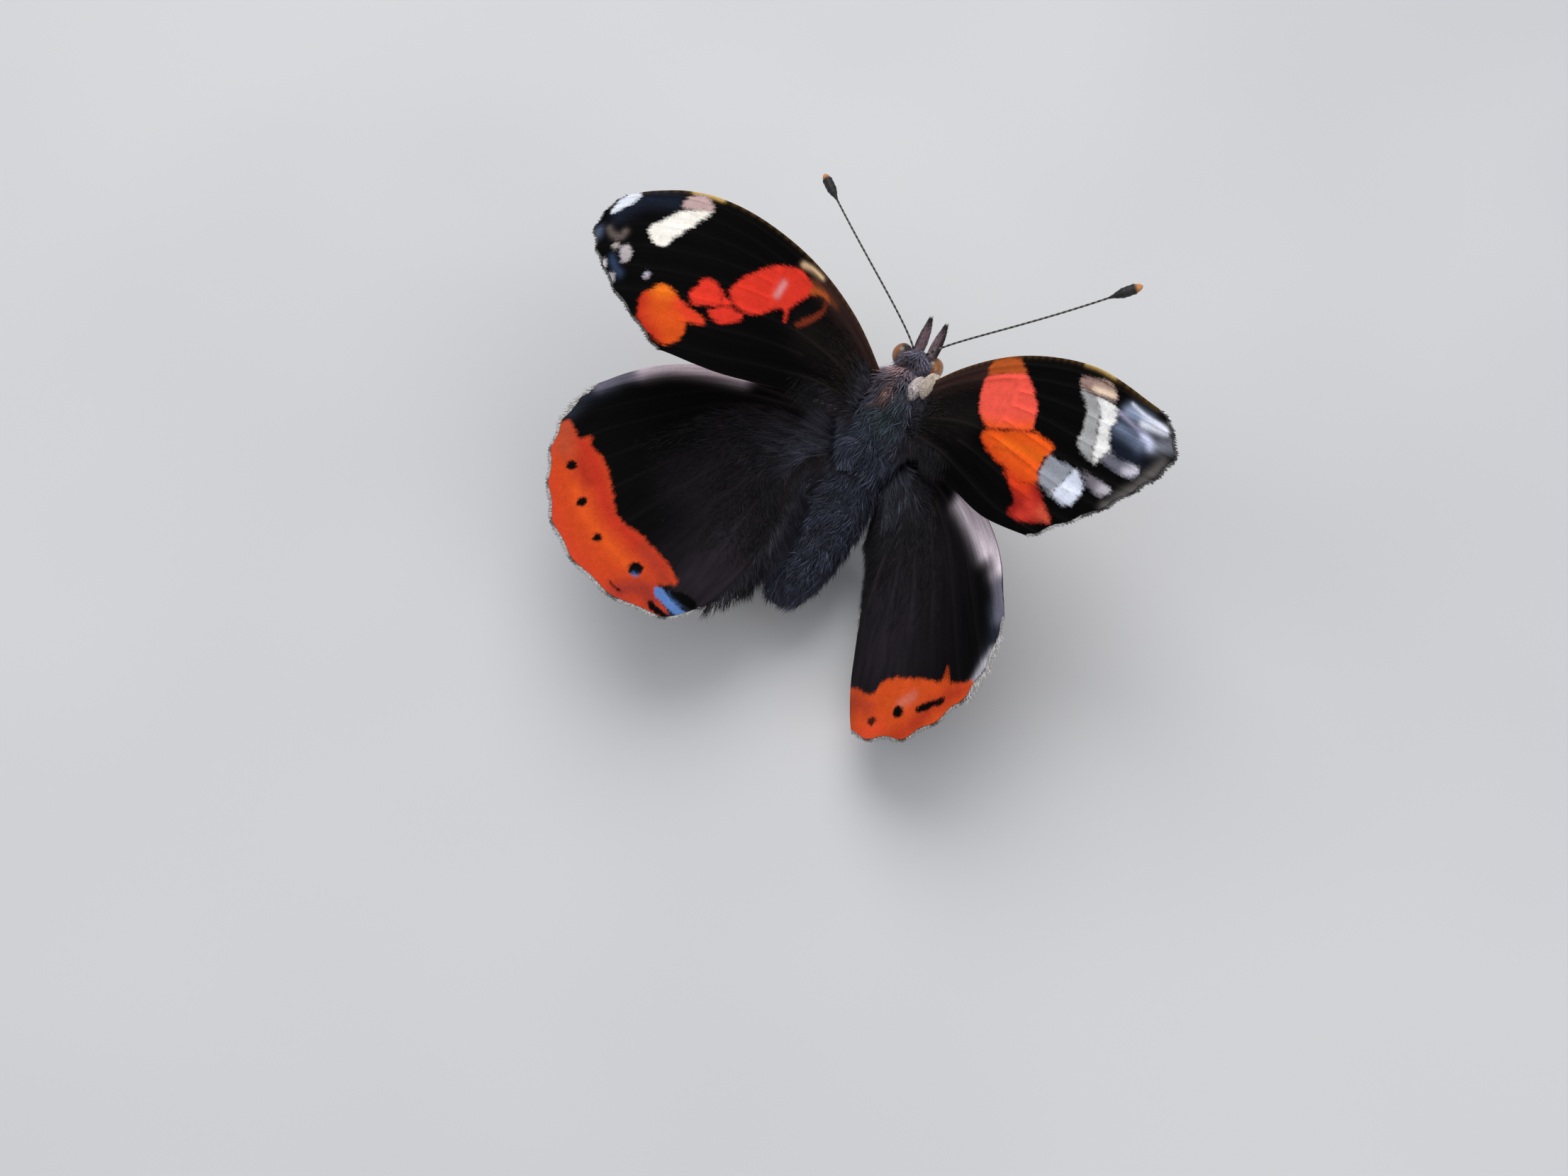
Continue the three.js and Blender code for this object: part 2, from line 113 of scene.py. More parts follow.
def smooth(low: float, high: float, value: Array) -> Array:
    """Rises smoothly from 0 at low to 1 at high.

    Args:
        low: Where the step starts.
        high: Where it ends.
        value: Values to grade.

    Returns:
        The graded values, between 0 and 1.
    """
    t = np.clip((np.asarray(value, float) - low) / (high - low), 0, 1)
    return t * t * (3 - 2 * t)


def blend(tone: Array | Colour, hue: Colour, share: Array) -> Array:
    """Goes from colours to another colour, each by its share."""
    return np.asarray(tone) * (1 - share[:, None]) + np.array(hue) * share[:, None]


def between(a: Array, b: Array, c: Array, d: Array, share: Array) -> Array:
    """Goes smoothly from b to c, in the headings that a and d give."""
    v0, v1 = (c - a) / 2, (d - b) / 2
    return (2 * b - 2 * c + v0 + v1) * share**3 + (3 * c - 3 * b - 2 * v0 - v1) * share**2 + v0 * share + b


def catmull(points: Array, at: Array) -> Array:
    """Passes a smooth curve through evenly numbered points.

    Args:
        points: Array whose first axis runs along the curve.
        at: Places along it, from 0 at the first point to the last point's number.

    Returns:
        The points of the curve, one row for each place.
    """
    last = len(points) - 1
    at = np.clip(np.asarray(at, float), 0, last)
    whole = np.minimum(at.astype(int), last - 1)
    share = (at - whole).reshape(at.shape + (1,) * (points.ndim - 1))
    return between(*(points[np.clip(whole + step, 0, last)] for step in (-1, 0, 1, 2)), share)


def unit(ways: Array) -> Array:
    """Gives directions a length of one."""
    return ways / np.maximum(np.linalg.norm(ways, axis=-1, keepdims=True), 1e-9)


def run_along(path: Array) -> Array:
    """Measures how far from its start each point of a path is."""
    return np.concatenate([[0], np.cumsum(np.linalg.norm(np.diff(path, axis=0), axis=1))])


def axes_along(path: Array, at: Array) -> tuple[Array, Array, Array]:
    """Finds the directions of a path.

    Args:
        path: Its points.
        at: Places along it, by the points' numbers.

    Returns:
        The directions ahead, to the right and up.
    """
    way = unit(catmull(path, at + 0.02) - catmull(path, at - 0.02))
    right = unit(np.cross(way, (0, 0, 1.0)))
    return way, right, np.cross(right, way)


def turn(points: Array, axis: str, angle: float) -> Array:
    """Turns points about an axis through the origin.

    Args:
        points: Array with x, y and z in its last axis.
        axis: X, Y or Z.
        angle: Degrees.

    Returns:
        The turned points.
    """
    return points @ np.array(Matrix.Rotation(math.radians(angle), 3, axis)).T


def bezier(corners: Sequence[Point], t: Array) -> Array:
    """Samples a quadratic or cubic Bezier curve.

    Args:
        corners: Three or four corner points.
        t: Places from 0 to 1.

    Returns:
        One point for each place.
    """
    rows = np.repeat(np.asarray(corners, float)[:, None, :], len(t), axis=1)
    while len(rows) > 1:
        rows = rows[:-1] + (rows[1:] - rows[:-1]) * np.asarray(t)[None, :, None]
    return rows[0]


@dataclass(frozen=True)
class Stance:
    """How the body is carried above the ground, in millimetres and degrees."""

    height: float = 8.4
    pitch: float = 16.8
    abdomen_pitch: float = 6.2
    waist: Point = (0.0, 4.6, -0.35)
    shift: Point = (-0.5815, -4.1693, 0.0)

    def on_ground(self, points: Array) -> Array:
        """Moves points given over the middle of the feet into the frame of the solids."""
        return np.asarray(points, float) + self.shift

    def from_body(self, points: Array) -> Array:
        """Moves points given along the thorax into the frame of the solids."""
        return self.on_ground(turn(np.asarray(points, float), "X", -self.pitch) + (0, 0, self.height))

    def from_abdomen(self, points: Array) -> Array:
        """Moves points given along the abdomen into the frame of the solids."""
        return turn(np.asarray(points, float), "X", -self.abdomen_pitch) + self.from_body(self.waist)


STANCE = Stance()


# Meshes


def put(vertices: Sequence[BMVert], spots: Array) -> None:
    """Moves vertices to new places."""
    for vertex, spot in zip(vertices, spots):
        vertex.co = spot


def show(name: str, data: bpy.types.ID) -> Object:
    """Puts a mesh, lamp or camera into the scene.

    Args:
        name: Name of the object.
        data: The mesh, lamp or camera.

    Returns:
        The new object.
    """
    thing = bpy.data.objects.new(name, data)
    bpy.context.scene.collection.objects.link(thing)
    return thing


def place(shape: BMesh, name: str, finish: Material,
          stands_for: Sequence[str] = (), sharp: float | None = None) -> Object:
    """Makes a finished piece from a mesh in millimetres and hangs it on the body.

    Args:
        shape: The modelled shape, which is freed.
        name: Name of the piece.
        finish: Its material.
        stands_for: Solids that the piece replaces.
        sharp: Edges steeper than this many degrees stay sharp.

    Returns:
        The new object.
    """
    bmesh.ops.scale(shape, vec=(MM, MM, MM), verts=shape.verts)
    for face in shape.faces:
        face.smooth = True
    if sharp is not None:
        for edge in shape.edges:
            edge.smooth = edge.is_manifold and edge.calc_face_angle() < math.radians(sharp)
    mesh = bpy.data.meshes.new(name)
    shape.to_mesh(mesh)
    shape.free()
    return hang(mesh, finish, stands_for)


def hang(mesh: Mesh, finish: Material, stands_for: Sequence[str] = ()) -> Object:
    """Makes an object of a finished mesh and lets it ride on the body.

    Args:
        mesh: The mesh, in metres.
        finish: Its material.
        stands_for: Solids that the piece replaces.

    Returns:
        The new object.
    """
    piece = show(mesh.name, mesh)
    mesh.materials.append(finish)
    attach(piece, BODY)
    if stands_for:
        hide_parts(*stands_for)
    LOG.info("%s: %d faces", mesh.name, len(mesh.polygons))
    return piece


def rod(sides: int, rings: int) -> tuple[BMesh, Array, Array]:
    """Starts a closed rod of unit radius along Z.

    Args:
        sides: Faces round it.
        rings: Steps along it.

    Returns:
        The mesh, how far along each vertex is from 0 to 1, and its place across as x and y.
    """
    shape = bmesh.new()
    bmesh.ops.create_cone(shape, cap_ends=True, segments=sides, radius1=1, radius2=1, depth=1)
    long_edges = [e for e in shape.edges if abs(e.verts[0].co.z - e.verts[1].co.z) > 0.5]
    bmesh.ops.subdivide_edges(shape, edges=long_edges, cuts=rings - 1)
    spots = np.array([v.co[:] for v in shape.verts])
    return shape, spots[:, 2] + 0.5, spots[:, :2]


def sweep(path: Array, radii: Array, sides: int = 12, rings: int = 40, flat: float = 1.0) -> tuple[BMesh, Array]:
    """Bends a rod along a path.

    Args:
        path: Points of the path, in millimetres.
        radii: Radius at each of them.
        sides: Faces round the rod.
        rings: Steps along the rod.
        flat: Height of the section as a share of its width.

    Returns:
        The mesh and how far along each vertex is, from 0 to 1.
    """
    shape, along, across = rod(sides, rings)
    at = along * (len(path) - 1)
    _, right, up = axes_along(path, at)
    radius = catmull(np.asarray(radii, float)[:, None], along * (len(radii) - 1))
    put(shape.verts, catmull(path, at) + radius * (across[:, :1] * right + across[:, 1:] * up * flat))
    bmesh.ops.recalc_face_normals(shape, faces=shape.faces)
    return shape, along


def keep(mesh: Mesh, name: str, values: Array) -> None:
    """Stores a number, vector or colour for each vertex.

    Args:
        mesh: The mesh.
        name: Name of the attribute.
        values: One row for each vertex, with one, three or four numbers.
    """
    values = np.asarray(values, np.float32)
    kind, key = "FLOAT", "value"
    if values.ndim == 2:
        kind, key = ("FLOAT_COLOR", "color") if values.shape[1] == 4 else ("FLOAT_VECTOR", "vector")
    mesh.attributes.new(name, kind, "POINT").data.foreach_set(key, values.ravel())


def paint(mesh: Mesh, name: str, tint: Array | Colour) -> None:
    """Stores a colour for each vertex, or one colour for all."""
    count = len(mesh.vertices)
    keep(mesh, name, np.column_stack([np.broadcast_to(tint, (count, 3)), np.ones(count)]))


# Hair


def tuft() -> tuple[Array, Array]:
    """Models one tuft: a three-sided lock that swells a little and ends in a point.

    Returns:
        Its corners as x, y and share of the length, and its triangles.
    """
    shape, _, _ = rod(3, 2)
    top = [v for v in shape.verts if v.co.z > 0.4]
    bmesh.ops.pointmerge(shape, verts=top, merge_co=(0, 0, 0.5))
    for vertex in shape.verts:
        if vertex.co.z < -0.4:
            vertex.co.xy *= 0.7
    bmesh.ops.recalc_face_normals(shape, faces=shape.faces)
    bmesh.ops.triangulate(shape, faces=shape.faces)
    shape.verts.index_update()
    corners = np.array([v.co[:] for v in shape.verts]) + (0, 0, 0.5)
    triangles = np.array([[v.index for v in f.verts] for f in shape.faces])
    shape.free()
    return corners, triangles


@dataclass
class Tufts:
    """Where hair tufts stand and how they lie, their sizes in millimetres, and their colours."""

    root: Array
    normal: Array
    lay: Array
    length: Array
    width: Array
    lift: Array
    tint: Array
    patch: Array
    sway: Array
    # brightness at the tip, the lit end of the painted shade along each tuft
    tip: float = 1.5
    most: int = 19000

    def only(self, kept: Array) -> "Tufts":
        """Picks some of the tufts.

        Args:
            kept: Their numbers, or a mask.

        Returns:
            The picked tufts.
        """
        names = ("root", "normal", "lay", "length", "width", "lift", "tint", "patch", "sway")
        return Tufts(*(getattr(self, name)[kept] for name in names), tip=self.tip)

    def spots(self, corners: Array) -> Array:
        """Bends a copy of the tuft for each root.

        Args:
            corners: Corners of the tuft.

        Returns:
            The corners of all tufts, in millimetres.
        """
        lay = unit(self.lay - self.normal * np.sum(self.lay * self.normal, axis=1, keepdims=True))
        side = np.cross(self.normal, lay)
        z = corners[None, :, 2:3]
        steep = self.lift[:, None, None]
        long = self.length[:, None, None]
        lay, side, normal = lay[:, None], side[:, None], self.normal[:, None]
        rise = np.sin(steep) * (z - HAIR_DROOP * z * z)
        curl = side * self.sway[:, None, None] * z * z
        middle = long * (lay * (z * np.cos(steep) + 0.1 * z * z) + normal * rise + curl)
        thick = (normal * np.cos(steep) - lay * np.sin(steep)) * corners[None, :, 1:2] * HAIR_FLATNESS
        across = (side * corners[None, :, :1] + thick) * self.width[:, None, None] / 2
        return self.root[:, None] + middle + across - normal * HAIR_SINK

    def build(self, name: str, finish: Material, slot: Slot) -> None:
        """Joins the tufts into as many pieces as they need.

        Args:
            name: Name of the coat piece.
            finish: The hairy material.
            slot: Not used.
        """
        corners, triangles = tuft()
        count = math.ceil(len(self.root) / self.most)
        for number in range(count):
            part = self.only(np.arange(len(self.root)) % count == number)
            tufts = len(part.root)
            mesh = bpy.data.meshes.new(f"{name}_{number + 1}" if count > 1 else name)
            mesh.vertices.add(tufts * len(corners))
            mesh.vertices.foreach_set("co", (part.spots(corners) * MM).astype(np.float32).ravel())
            faces = (np.arange(tufts)[:, None, None] * len(corners) + triangles).reshape(-1, 3)
            mesh.loops.add(faces.size)
            mesh.loops.foreach_set("vertex_index", faces.ravel().astype(np.int32))
            mesh.polygons.add(len(faces))
            mesh.polygons.foreach_set("loop_start", np.arange(0, faces.size, 3, dtype=np.int32))
            mesh.update(calc_edges=True)
            mesh.polygons.foreach_set("use_smooth", np.ones(len(faces), bool))
            # painted shade and light: each tuft darkens towards its root and brightens towards its tip
            shade = ROOT_PAINTED_SHADE + (self.tip - ROOT_PAINTED_SHADE) * corners[:, 2]
            paint(mesh, "Tint", (part.tint[:, None] * shade[None, :, None]).reshape(-1, 3))
            bake = mesh.uv_layers.new(name="OFBake")
            flat = (part.patch[:, None] + corners[:, [0, 2]] * PATCH_SPREAD).reshape(-1, 2)
            bake.data.foreach_set("uv", flat[faces.ravel()].astype(np.float32).ravel())
            hang(mesh, finish)


def comb(points: Array, size: float, seed: int) -> Array:
    """Gives smooth wandering values that turn hair this way and that in locks.

    Args:
        points: Places in millimetres.
        size: How far apart the changes are.
        seed: Picks the pattern.

    Returns:
        One value for each place, between about -1 and 1.
    """
    waves = np.random.default_rng(seed).normal(size=(7, 4))
    total = np.zeros(len(points))
    for wave in waves:
        total += np.sin(points @ wave[:3] * (2.2 / size) + wave[3] * 7)
    return total / 3.5


def clothe(path: Array, radii: Array, apart: float, length: float, lift: float, hues: Sequence[Colour],
           seed: int, stretch: Point = (0.02, 0.98), flat: float = 1.0) -> Tufts:
    """Grows hair or scales along a rod bent by sweep.

    Args:
        path: Points of its path, in millimetres.
        radii: Radius at each of them.
        apart: Room between two roots.
        length: Length of the hair.
        lift: Degrees that it stands off.
        hues: Colours to pick from.
        seed: Picks the pattern.
        stretch: Share of the rod that is covered.
        flat: Height of the section as a share of its width.

    Returns:
        The tufts, with how far along the rod each one is as the second value of its patch.
    """
    random = np.random.default_rng(seed)
    run = run_along(path)
    evenly = np.linspace(0, 1, len(radii))
    shares, angles = [], []
    for at in np.arange(stretch[0] * run[-1], stretch[1] * run[-1], apart):
        share = np.interp(at, run, np.linspace(0, 1, len(run)))
        count = max(3, int(2 * math.pi * np.interp(share, evenly, radii) / apart))
        angles.append((np.arange(count) + random.uniform(0, 1, count)) / count * 2 * math.pi)
        shares.append(np.clip(share + random.uniform(-0.5, 0.5, count) * apart / run[-1], 0, 1))
    share, angle = np.concatenate(shares), np.concatenate(angles)
    count = len(share)
    at = share * (len(path) - 1)
    way, right, up = axes_along(path, at)
    sideways, upwards = right * np.cos(angle)[:, None], up * np.sin(angle)[:, None]
    root = catmull(path, at) + np.interp(share, evenly, radii)[:, None] * (sideways + upwards * flat)
    tint = np.array(hues)[random.integers(0, len(hues), count)] * random.uniform(0.7, 1.35, (count, 1))
    return Tufts(root, sideways + upwards, way, length * random.uniform(0.7, 1.25, count),
                 random.uniform(0.05, 0.085, count), np.radians(lift) + random.normal(0, 0.08, count), tint,
                 np.column_stack([angle / (2 * math.pi), share]), random.normal(0, 0.12, count))


# Materials


class Nodes:
    """Lays out the nodes of one finish or of one shared effect."""

    def __init__(self, tree: NodeTree) -> None:
        """Starts on an empty tree."""
        self.tree = tree

    def add(self, kind: str, feeds: dict | None = None, **settings) -> Node:
        """Adds a node.

        Args:
            kind: Name of its type without the word ShaderNode.
            feeds: Values or sockets for its inputs, by name or number.
            **settings: Its own settings.

        Returns:
            The node.
        """
        node = self.tree.nodes.new("ShaderNode" + kind)
        for key, value in settings.items():
            setattr(node, key, value)
        for key, value in (feeds or {}).items():
            self.feed(node.inputs[key], value)
        return node

    def feed(self, socket: NodeSocket, value: object) -> None:
        """Links a socket to another one, or sets its own value.

        Args:
            socket: The socket that is fed.
            value: The other socket, a number or a colour.
        """
        if isinstance(value, NodeSocket):
            self.tree.links.new(value, socket)
        elif isinstance(value, tuple) and socket.type == "RGBA":
            socket.default_value = (*value[:3], 1)
        else:
            socket.default_value = value

    def math(self, job: str, *terms: object) -> NodeSocket:
        """Works out one number from others."""
        return self.add("Math", dict(enumerate(terms)), operation=job).outputs[0]

    def mix(self, share: object, first: object, second: object, kind: str = "MIX") -> NodeSocket:
        """Mixes two colours, the second one by the share."""
        return self.add("Mix", {0: share, 6: first, 7: second}, data_type="RGBA", blend_type=kind).outputs[2]

    def step(self, value: object, low: float, high: float, start: float = 0, end: float = 1) -> NodeSocket:
        """Maps the values from low to high smoothly to those from start to end."""
        feeds = {"Value": value, "From Min": low, "From Max": high, "To Min": start, "To Max": end}
        return self.add("MapRange", feeds, interpolation_type="SMOOTHSTEP").outputs[0]

    def read(self, name: str, what: str = "Fac") -> NodeSocket:
        """Reads an attribute of the mesh."""
        return self.add("Attribute", attribute_name=name).outputs[what]

    def noise(self, size: float, detail: float = 2, where: object = None, stretch: Point = (1, 1, 1)) -> NodeSocket:
        """Gives noise with features of a size.

        Args:
            size: Size of its features, in millimetres, or in the units of where.
            detail: How many finer octaves it has.
            where: Coordinates to use in place of the object's.
            stretch: Scale along each axis.

        Returns:
            The noise, from 0 to 1.
        """
        place_at = where or self.add("TexCoord").outputs["Object"]
        turned = self.add("Mapping", {"Vector": place_at, "Scale": stretch}).outputs[0]
        scale = 1 / (size * MM) if where is None else 1 / size
        return self.add("TexNoise", {"Vector": turned, "Scale": scale, "Detail": detail}).outputs["Fac"]

    def group(self, tree: NodeTree, feeds: dict) -> Node:
        """Places a shared effect."""
        return self.add("Group", feeds, node_tree=tree)


class Effects:
    """Effects that several finishes share, each built once."""

    def __init__(self) -> None:
        """Builds the effects."""
        self.scales = self._scales()
        self.ragged = self._ragged()
        self.streaks = self._streaks()

    @staticmethod
    def _start(name: str, takes: dict[str, tuple[str, float]], gives: dict[str, str]) -> tuple[Nodes, dict, Node]:
        """Makes an empty group with named sockets.

        Args:
            name: Name of the effect.
            takes: Input names with their kind and value.
            gives: Output names with their kind.

        Returns:
            Its nodes, its inputs by name, and its output node.
        """
        tree = bpy.data.node_groups.new(name, "ShaderNodeTree")
        for key, (kind, value) in takes.items():
            socket = tree.interface.new_socket(name=key, in_out="INPUT", socket_type="NodeSocket" + kind)
            if kind == "Float":
                socket.default_value = value
        for key, kind in gives.items():
            tree.interface.new_socket(name=key, in_out="OUTPUT", socket_type="NodeSocket" + kind)
        source = tree.nodes.new("NodeGroupInput")
        sink = tree.nodes.new("NodeGroupOutput")
        return Nodes(tree), {key: source.outputs[key] for key in takes}, sink

    def _scales(self) -> NodeTree:
        """Overlapping scales: each one a shade of its own, with a raised tip.

        Returns:
            The effect.
        """
        nodes, takes, sink = self._start(
            "Scales", {"Size": ("Float", 0.1), "Contrast": ("Float", 0.3)}, {"Shade": "Float", "Height": "Float"})
        where = nodes.add("TexCoord").outputs["Object"]
        scale = nodes.math("DIVIDE", 1 / MM, takes["Size"])
        cells = nodes.add("TexVoronoi", {"Vector": where, "Scale": scale})
        shade = nodes.add("SeparateColor", {0: cells.outputs["Color"]}).outputs[0]
        centred = nodes.math("SUBTRACT", shade, 0.5)
        nodes.feed(sink.inputs["Shade"], nodes.math("MULTIPLY_ADD", centred, takes["Contrast"], 1.0))
        nodes.feed(sink.inputs["Height"], nodes.math("SUBTRACT", shade, cells.outputs["Distance"]))
        return nodes.tree

    def _ragged(self) -> NodeTree:
        """The edge of a marking: a distance in millimetres that is feathered along the wing, scale by scale.

        Returns:
            The effect.
        """
        takes = {"Lay": ("Vector", 0), "Distance": ("Float", 0), "Reach": ("Float", 0.3), "Softness": ("Float", 0.1)}
        nodes, takes, sink = self._start("Ragged edge", takes, {"Mask": "Float"})
        fine = nodes.math("SUBTRACT", nodes.noise(0.16, 1), 0.5)
        feather = nodes.math("SUBTRACT", nodes.noise(1, 3, takes["Lay"], (3.4, 0.75, 1)), 0.5)
        both = nodes.math("MULTIPLY_ADD", feather, 1.7, fine)
        moved = nodes.math("MULTIPLY_ADD", both, takes["Reach"], takes["Distance"])
        share = nodes.math("DIVIDE", moved, takes["Softness"])
        nodes.feed(sink.inputs["Mask"], nodes.step(share, -1, 1))
        return nodes.tree

    def _streaks(self) -> NodeTree:
        """Fine streaks that run along a wing or a body, as rows of hair-like scales do.

        Returns:
            The effect.
        """
        nodes, takes, sink = self._start(
            "Streaks", {"Lay": ("Vector", 0), "Contrast": ("Float", 0.5)}, {"Shade": "Float"})
        lines = nodes.noise(1, 3, takes["Lay"], (3.2, 0.28, 1))
        centred = nodes.math("SUBTRACT", lines, 0.5)
        nodes.feed(sink.inputs["Shade"], nodes.math("MULTIPLY_ADD", centred, takes["Contrast"], 1.0))
        return nodes.tree


@dataclass(frozen=True)
class Finish:
    """A finish: its name and the plain values of its shader."""

    name: str
    roughness: float = 0.6
    specular: float = 0.4
    sheen: float = 0.0
    sheen_tint: Colour = (1.0, 1.0, 1.0)
    coat: float = 0.0

    def start(self) -> tuple[Material, Nodes, Node]:
        """Makes the material.

        Returns:
            The material, its nodes and its Principled shader.
        """
        material = bpy.data.materials.new(self.name)
        material.use_nodes = True
        nodes = Nodes(material.node_tree)
        shader = material.node_tree.nodes["Principled BSDF"]
        values = {"Roughness": self.roughness, "Specular IOR Level": self.specular, "Sheen Weight": self.sheen,
                  "Sheen Roughness": 0.4, "Sheen Tint": self.sheen_tint, "Coat Weight": self.coat,
                  "Coat Roughness": 0.08}
        for key, value in values.items():
            nodes.feed(shader.inputs[key], value)
        return material, nodes, shader

    @staticmethod
    def bump(nodes: Nodes, shader: Node, height: NodeSocket, depth: float) -> None:
        """Raises the surface by a height, up to that depth in millimetres."""
        raised = nodes.add("Bump", {"Height": height, "Strength": 1.0, "Distance": depth * MM})
        nodes.feed(shader.inputs["Normal"], raised.outputs[0])


@dataclass(frozen=True)
class WingFinish(Finish):
    """Powdery scales that take ground, marking and dot colours from the wing's own attributes."""

    def material(self, effects: Effects) -> Material:
        """Lays out the scales.

        Args:
            effects: The shared effects.

        Returns:
            The material.
        """
        material, nodes, shader = self.start()
        lay = nodes.read("Lay", "Vector")
        streaks = nodes.group(effects.streaks, {"Lay": lay, "Contrast": 1.1}).outputs[0]
        above = nodes.mix(1.0, nodes.read("Ground", "Color"), streaks, "MULTIPLY")
        ground = nodes.mix(nodes.read("Under"), above, self.marble(nodes))
        veined = nodes.mix(nodes.read("Vein"), ground, nodes.read("VeinHue", "Color"))
        border = {"Lay": lay, "Distance": nodes.read("Edge"), "Reach": 0.36, "Softness": 0.24}
        mark = nodes.group(effects.ragged, border)
        mottle = nodes.step(nodes.noise(0.6, 2), 0.25, 0.75, 0.94, 1.04)
        bright = nodes.mix(1.0, nodes.read("Mark", "Color"), mottle, "MULTIPLY")
        marked = nodes.mix(mark.outputs[0], veined, bright)
        dot = nodes.group(effects.ragged, {"Lay": lay, "Distance": nodes.read("Dot"), "Reach": 0.22, "Softness": 0.14})
        dotted = nodes.mix(dot.outputs[0], marked, nodes.read("DotHue", "Color"))
        scales = nodes.group(effects.scales, {"Size": 0.09, "Contrast": 0.18})
        colour = nodes.mix(1.0, dotted, scales.outputs["Shade"], "MULTIPLY")
        nodes.feed(shader.inputs["Base Color"], colour)
        self.bump(nodes, shader, scales.outputs["Height"], 0.006)
        return material

    @staticmethod
    def marble(nodes: Nodes) -> NodeSocket:
        """Clouds of brown, black, ochre and lilac grey, as on the underside.

        Args:
            nodes: The nodes of the finish.

        Returns:
            The colour.
        """
        broad = nodes.step(nodes.noise(2.6, 5), 0.42, 0.6)
        bark = nodes.mix(broad, (0.022, 0.014, 0.01), (0.13, 0.075, 0.04))
        grey = nodes.step(nodes.noise(1.7, 4, None, (1, 1.3, 0.8)), 0.55, 0.66, 0, 0.85)
        frosted = nodes.mix(grey, bark, (0.27, 0.22, 0.23))
        line = nodes.math("ABSOLUTE", nodes.math("SUBTRACT", nodes.noise(1.3, 3), 0.5))
        return nodes.mix(nodes.step(line, 0.0, 0.035, 0.75, 0), frosted, (0.008, 0.006, 0.005))


@dataclass(frozen=True)
class HairFinish(Finish):
    """Hair and the skin below it, in the colours kept on the piece."""

    grain: float = 0.08

    def material(self, effects: Effects) -> Material:
        """Lays out the hair colour.

        Args:
            effects: The shared effects.

        Returns:
            The material.
        """
        material, nodes, shader = self.start()
        scales = nodes.group(effects.scales, {"Size": self.grain, "Contrast": 0.5})
        colour = nodes.mix(1.0, nodes.read("Tint", "Color"), scales.outputs["Shade"], "MULTIPLY")
        nodes.feed(shader.inputs["Base Color"], colour)
        self.bump(nodes, shader, scales.outputs["Height"], 0.01)
        return material


@dataclass(frozen=True)
class EyeFinish(Finish):
    """A glossy compound eye, amber with a darker band and rim."""

    amber: Colour = (0.31, 0.115, 0.026)
    dark: Colour = (0.035, 0.018, 0.012)

    def material(self, effects: Effects) -> Material:
        """Lays out the bands of the eye.

        Args:
            effects: The shared effects.

        Returns:
            The material.
        """
        material, nodes, shader = self.start()
        cloud = nodes.math("SUBTRACT", nodes.noise(0.5, 2), 0.5)
        rim = nodes.math("MULTIPLY_ADD", cloud, 0.25, nodes.read("Rim"))
        grain = nodes.group(effects.scales, {"Size": 0.05, "Contrast": 0.3})
        amber = nodes.mix(1.0, self.amber, grain.outputs["Shade"], "MULTIPLY")
        nodes.feed(shader.inputs["Base Color"], nodes.mix(nodes.step(rim, 0.38, 0.7), amber, self.dark))
        return material


@dataclass(frozen=True)
class RingedFinish(Finish):
    """A horny shaft in two colours that change along it, with fine grain."""

    dark: Colour = (0.012, 0.011, 0.012)
    pale: Colour = (0.55, 0.5, 0.42)

    def material(self, effects: Effects) -> Material:
        """Lays out the bands along the shaft.

        Args:
            effects: The shared effects.

        Returns:
            The material.
        """
        material, nodes, shader = self.start()
        wander = nodes.math("SUBTRACT", nodes.noise(0.12, 2), 0.5)
        share = nodes.math("MULTIPLY_ADD", wander, 0.5, nodes.read("Pale"))
        colour = nodes.mix(nodes.step(share, 0.35, 0.65), self.dark, self.pale)
        tipped = nodes.mix(nodes.read("Tip"), colour, (0.62, 0.25, 0.08))
        grain = nodes.group(effects.scales, {"Size": 0.06, "Contrast": 0.6})
        nodes.feed(shader.inputs["Base Color"], nodes.mix(1.0, tipped, grain.outputs["Shade"], "MULTIPLY"))
        self.bump(nodes, shader, grain.outputs["Height"], 0.012)
        return material


# Wings


@dataclass(frozen=True)
class Patch:
    """A marking: a smooth closed outline on the flat wing, in millimetres, and its colour."""

    outline: tuple[Point, ...]
    hue: Colour

    def depth(self, plan: Array) -> Array:
        """Measures how far inside the outline each point lies.

        Args:
            plan: Points on the flat wing.

        Returns:
            Distance to the outline, positive inside.
        """
        corners = np.array(self.outline, float)
        steps = np.arange(0, len(corners), 1 / 6)
        loop = catmull(np.concatenate([corners[-2:], corners, corners[:2]]), steps + 2)
        nearest = np.full(len(plan), 1e9)
        inside = np.zeros(len(plan), bool)
        for a, b in zip(loop, np.roll(loop, -1, axis=0)):
            edge, to = b - a, plan - a
            share = np.clip(to @ edge / max(edge @ edge, 1e-12), 0, 1)
            nearest = np.minimum(nearest, np.linalg.norm(to - share[:, None] * edge, axis=1))
            crosses = (a[1] > plan[:, 1]) != (b[1] > plan[:, 1])
            slope = edge[0] / edge[1] if abs(edge[1]) > 1e-12 else 0.0
            inside ^= crosses & (plan[:, 0] < a[0] + (plan[:, 1] - a[1]) * slope)
        return np.where(inside, nearest, -nearest)


@dataclass(frozen=True)
class Spot:
    """A round marking: its middle, radius and colour."""

    middle: Point
    radius: float
    hue: Colour

    def depth(self, plan: Array) -> Array:
        """Measures how far inside the spot points on the flat wing lie."""
        return self.radius - np.linalg.norm(plan - self.middle, axis=1)


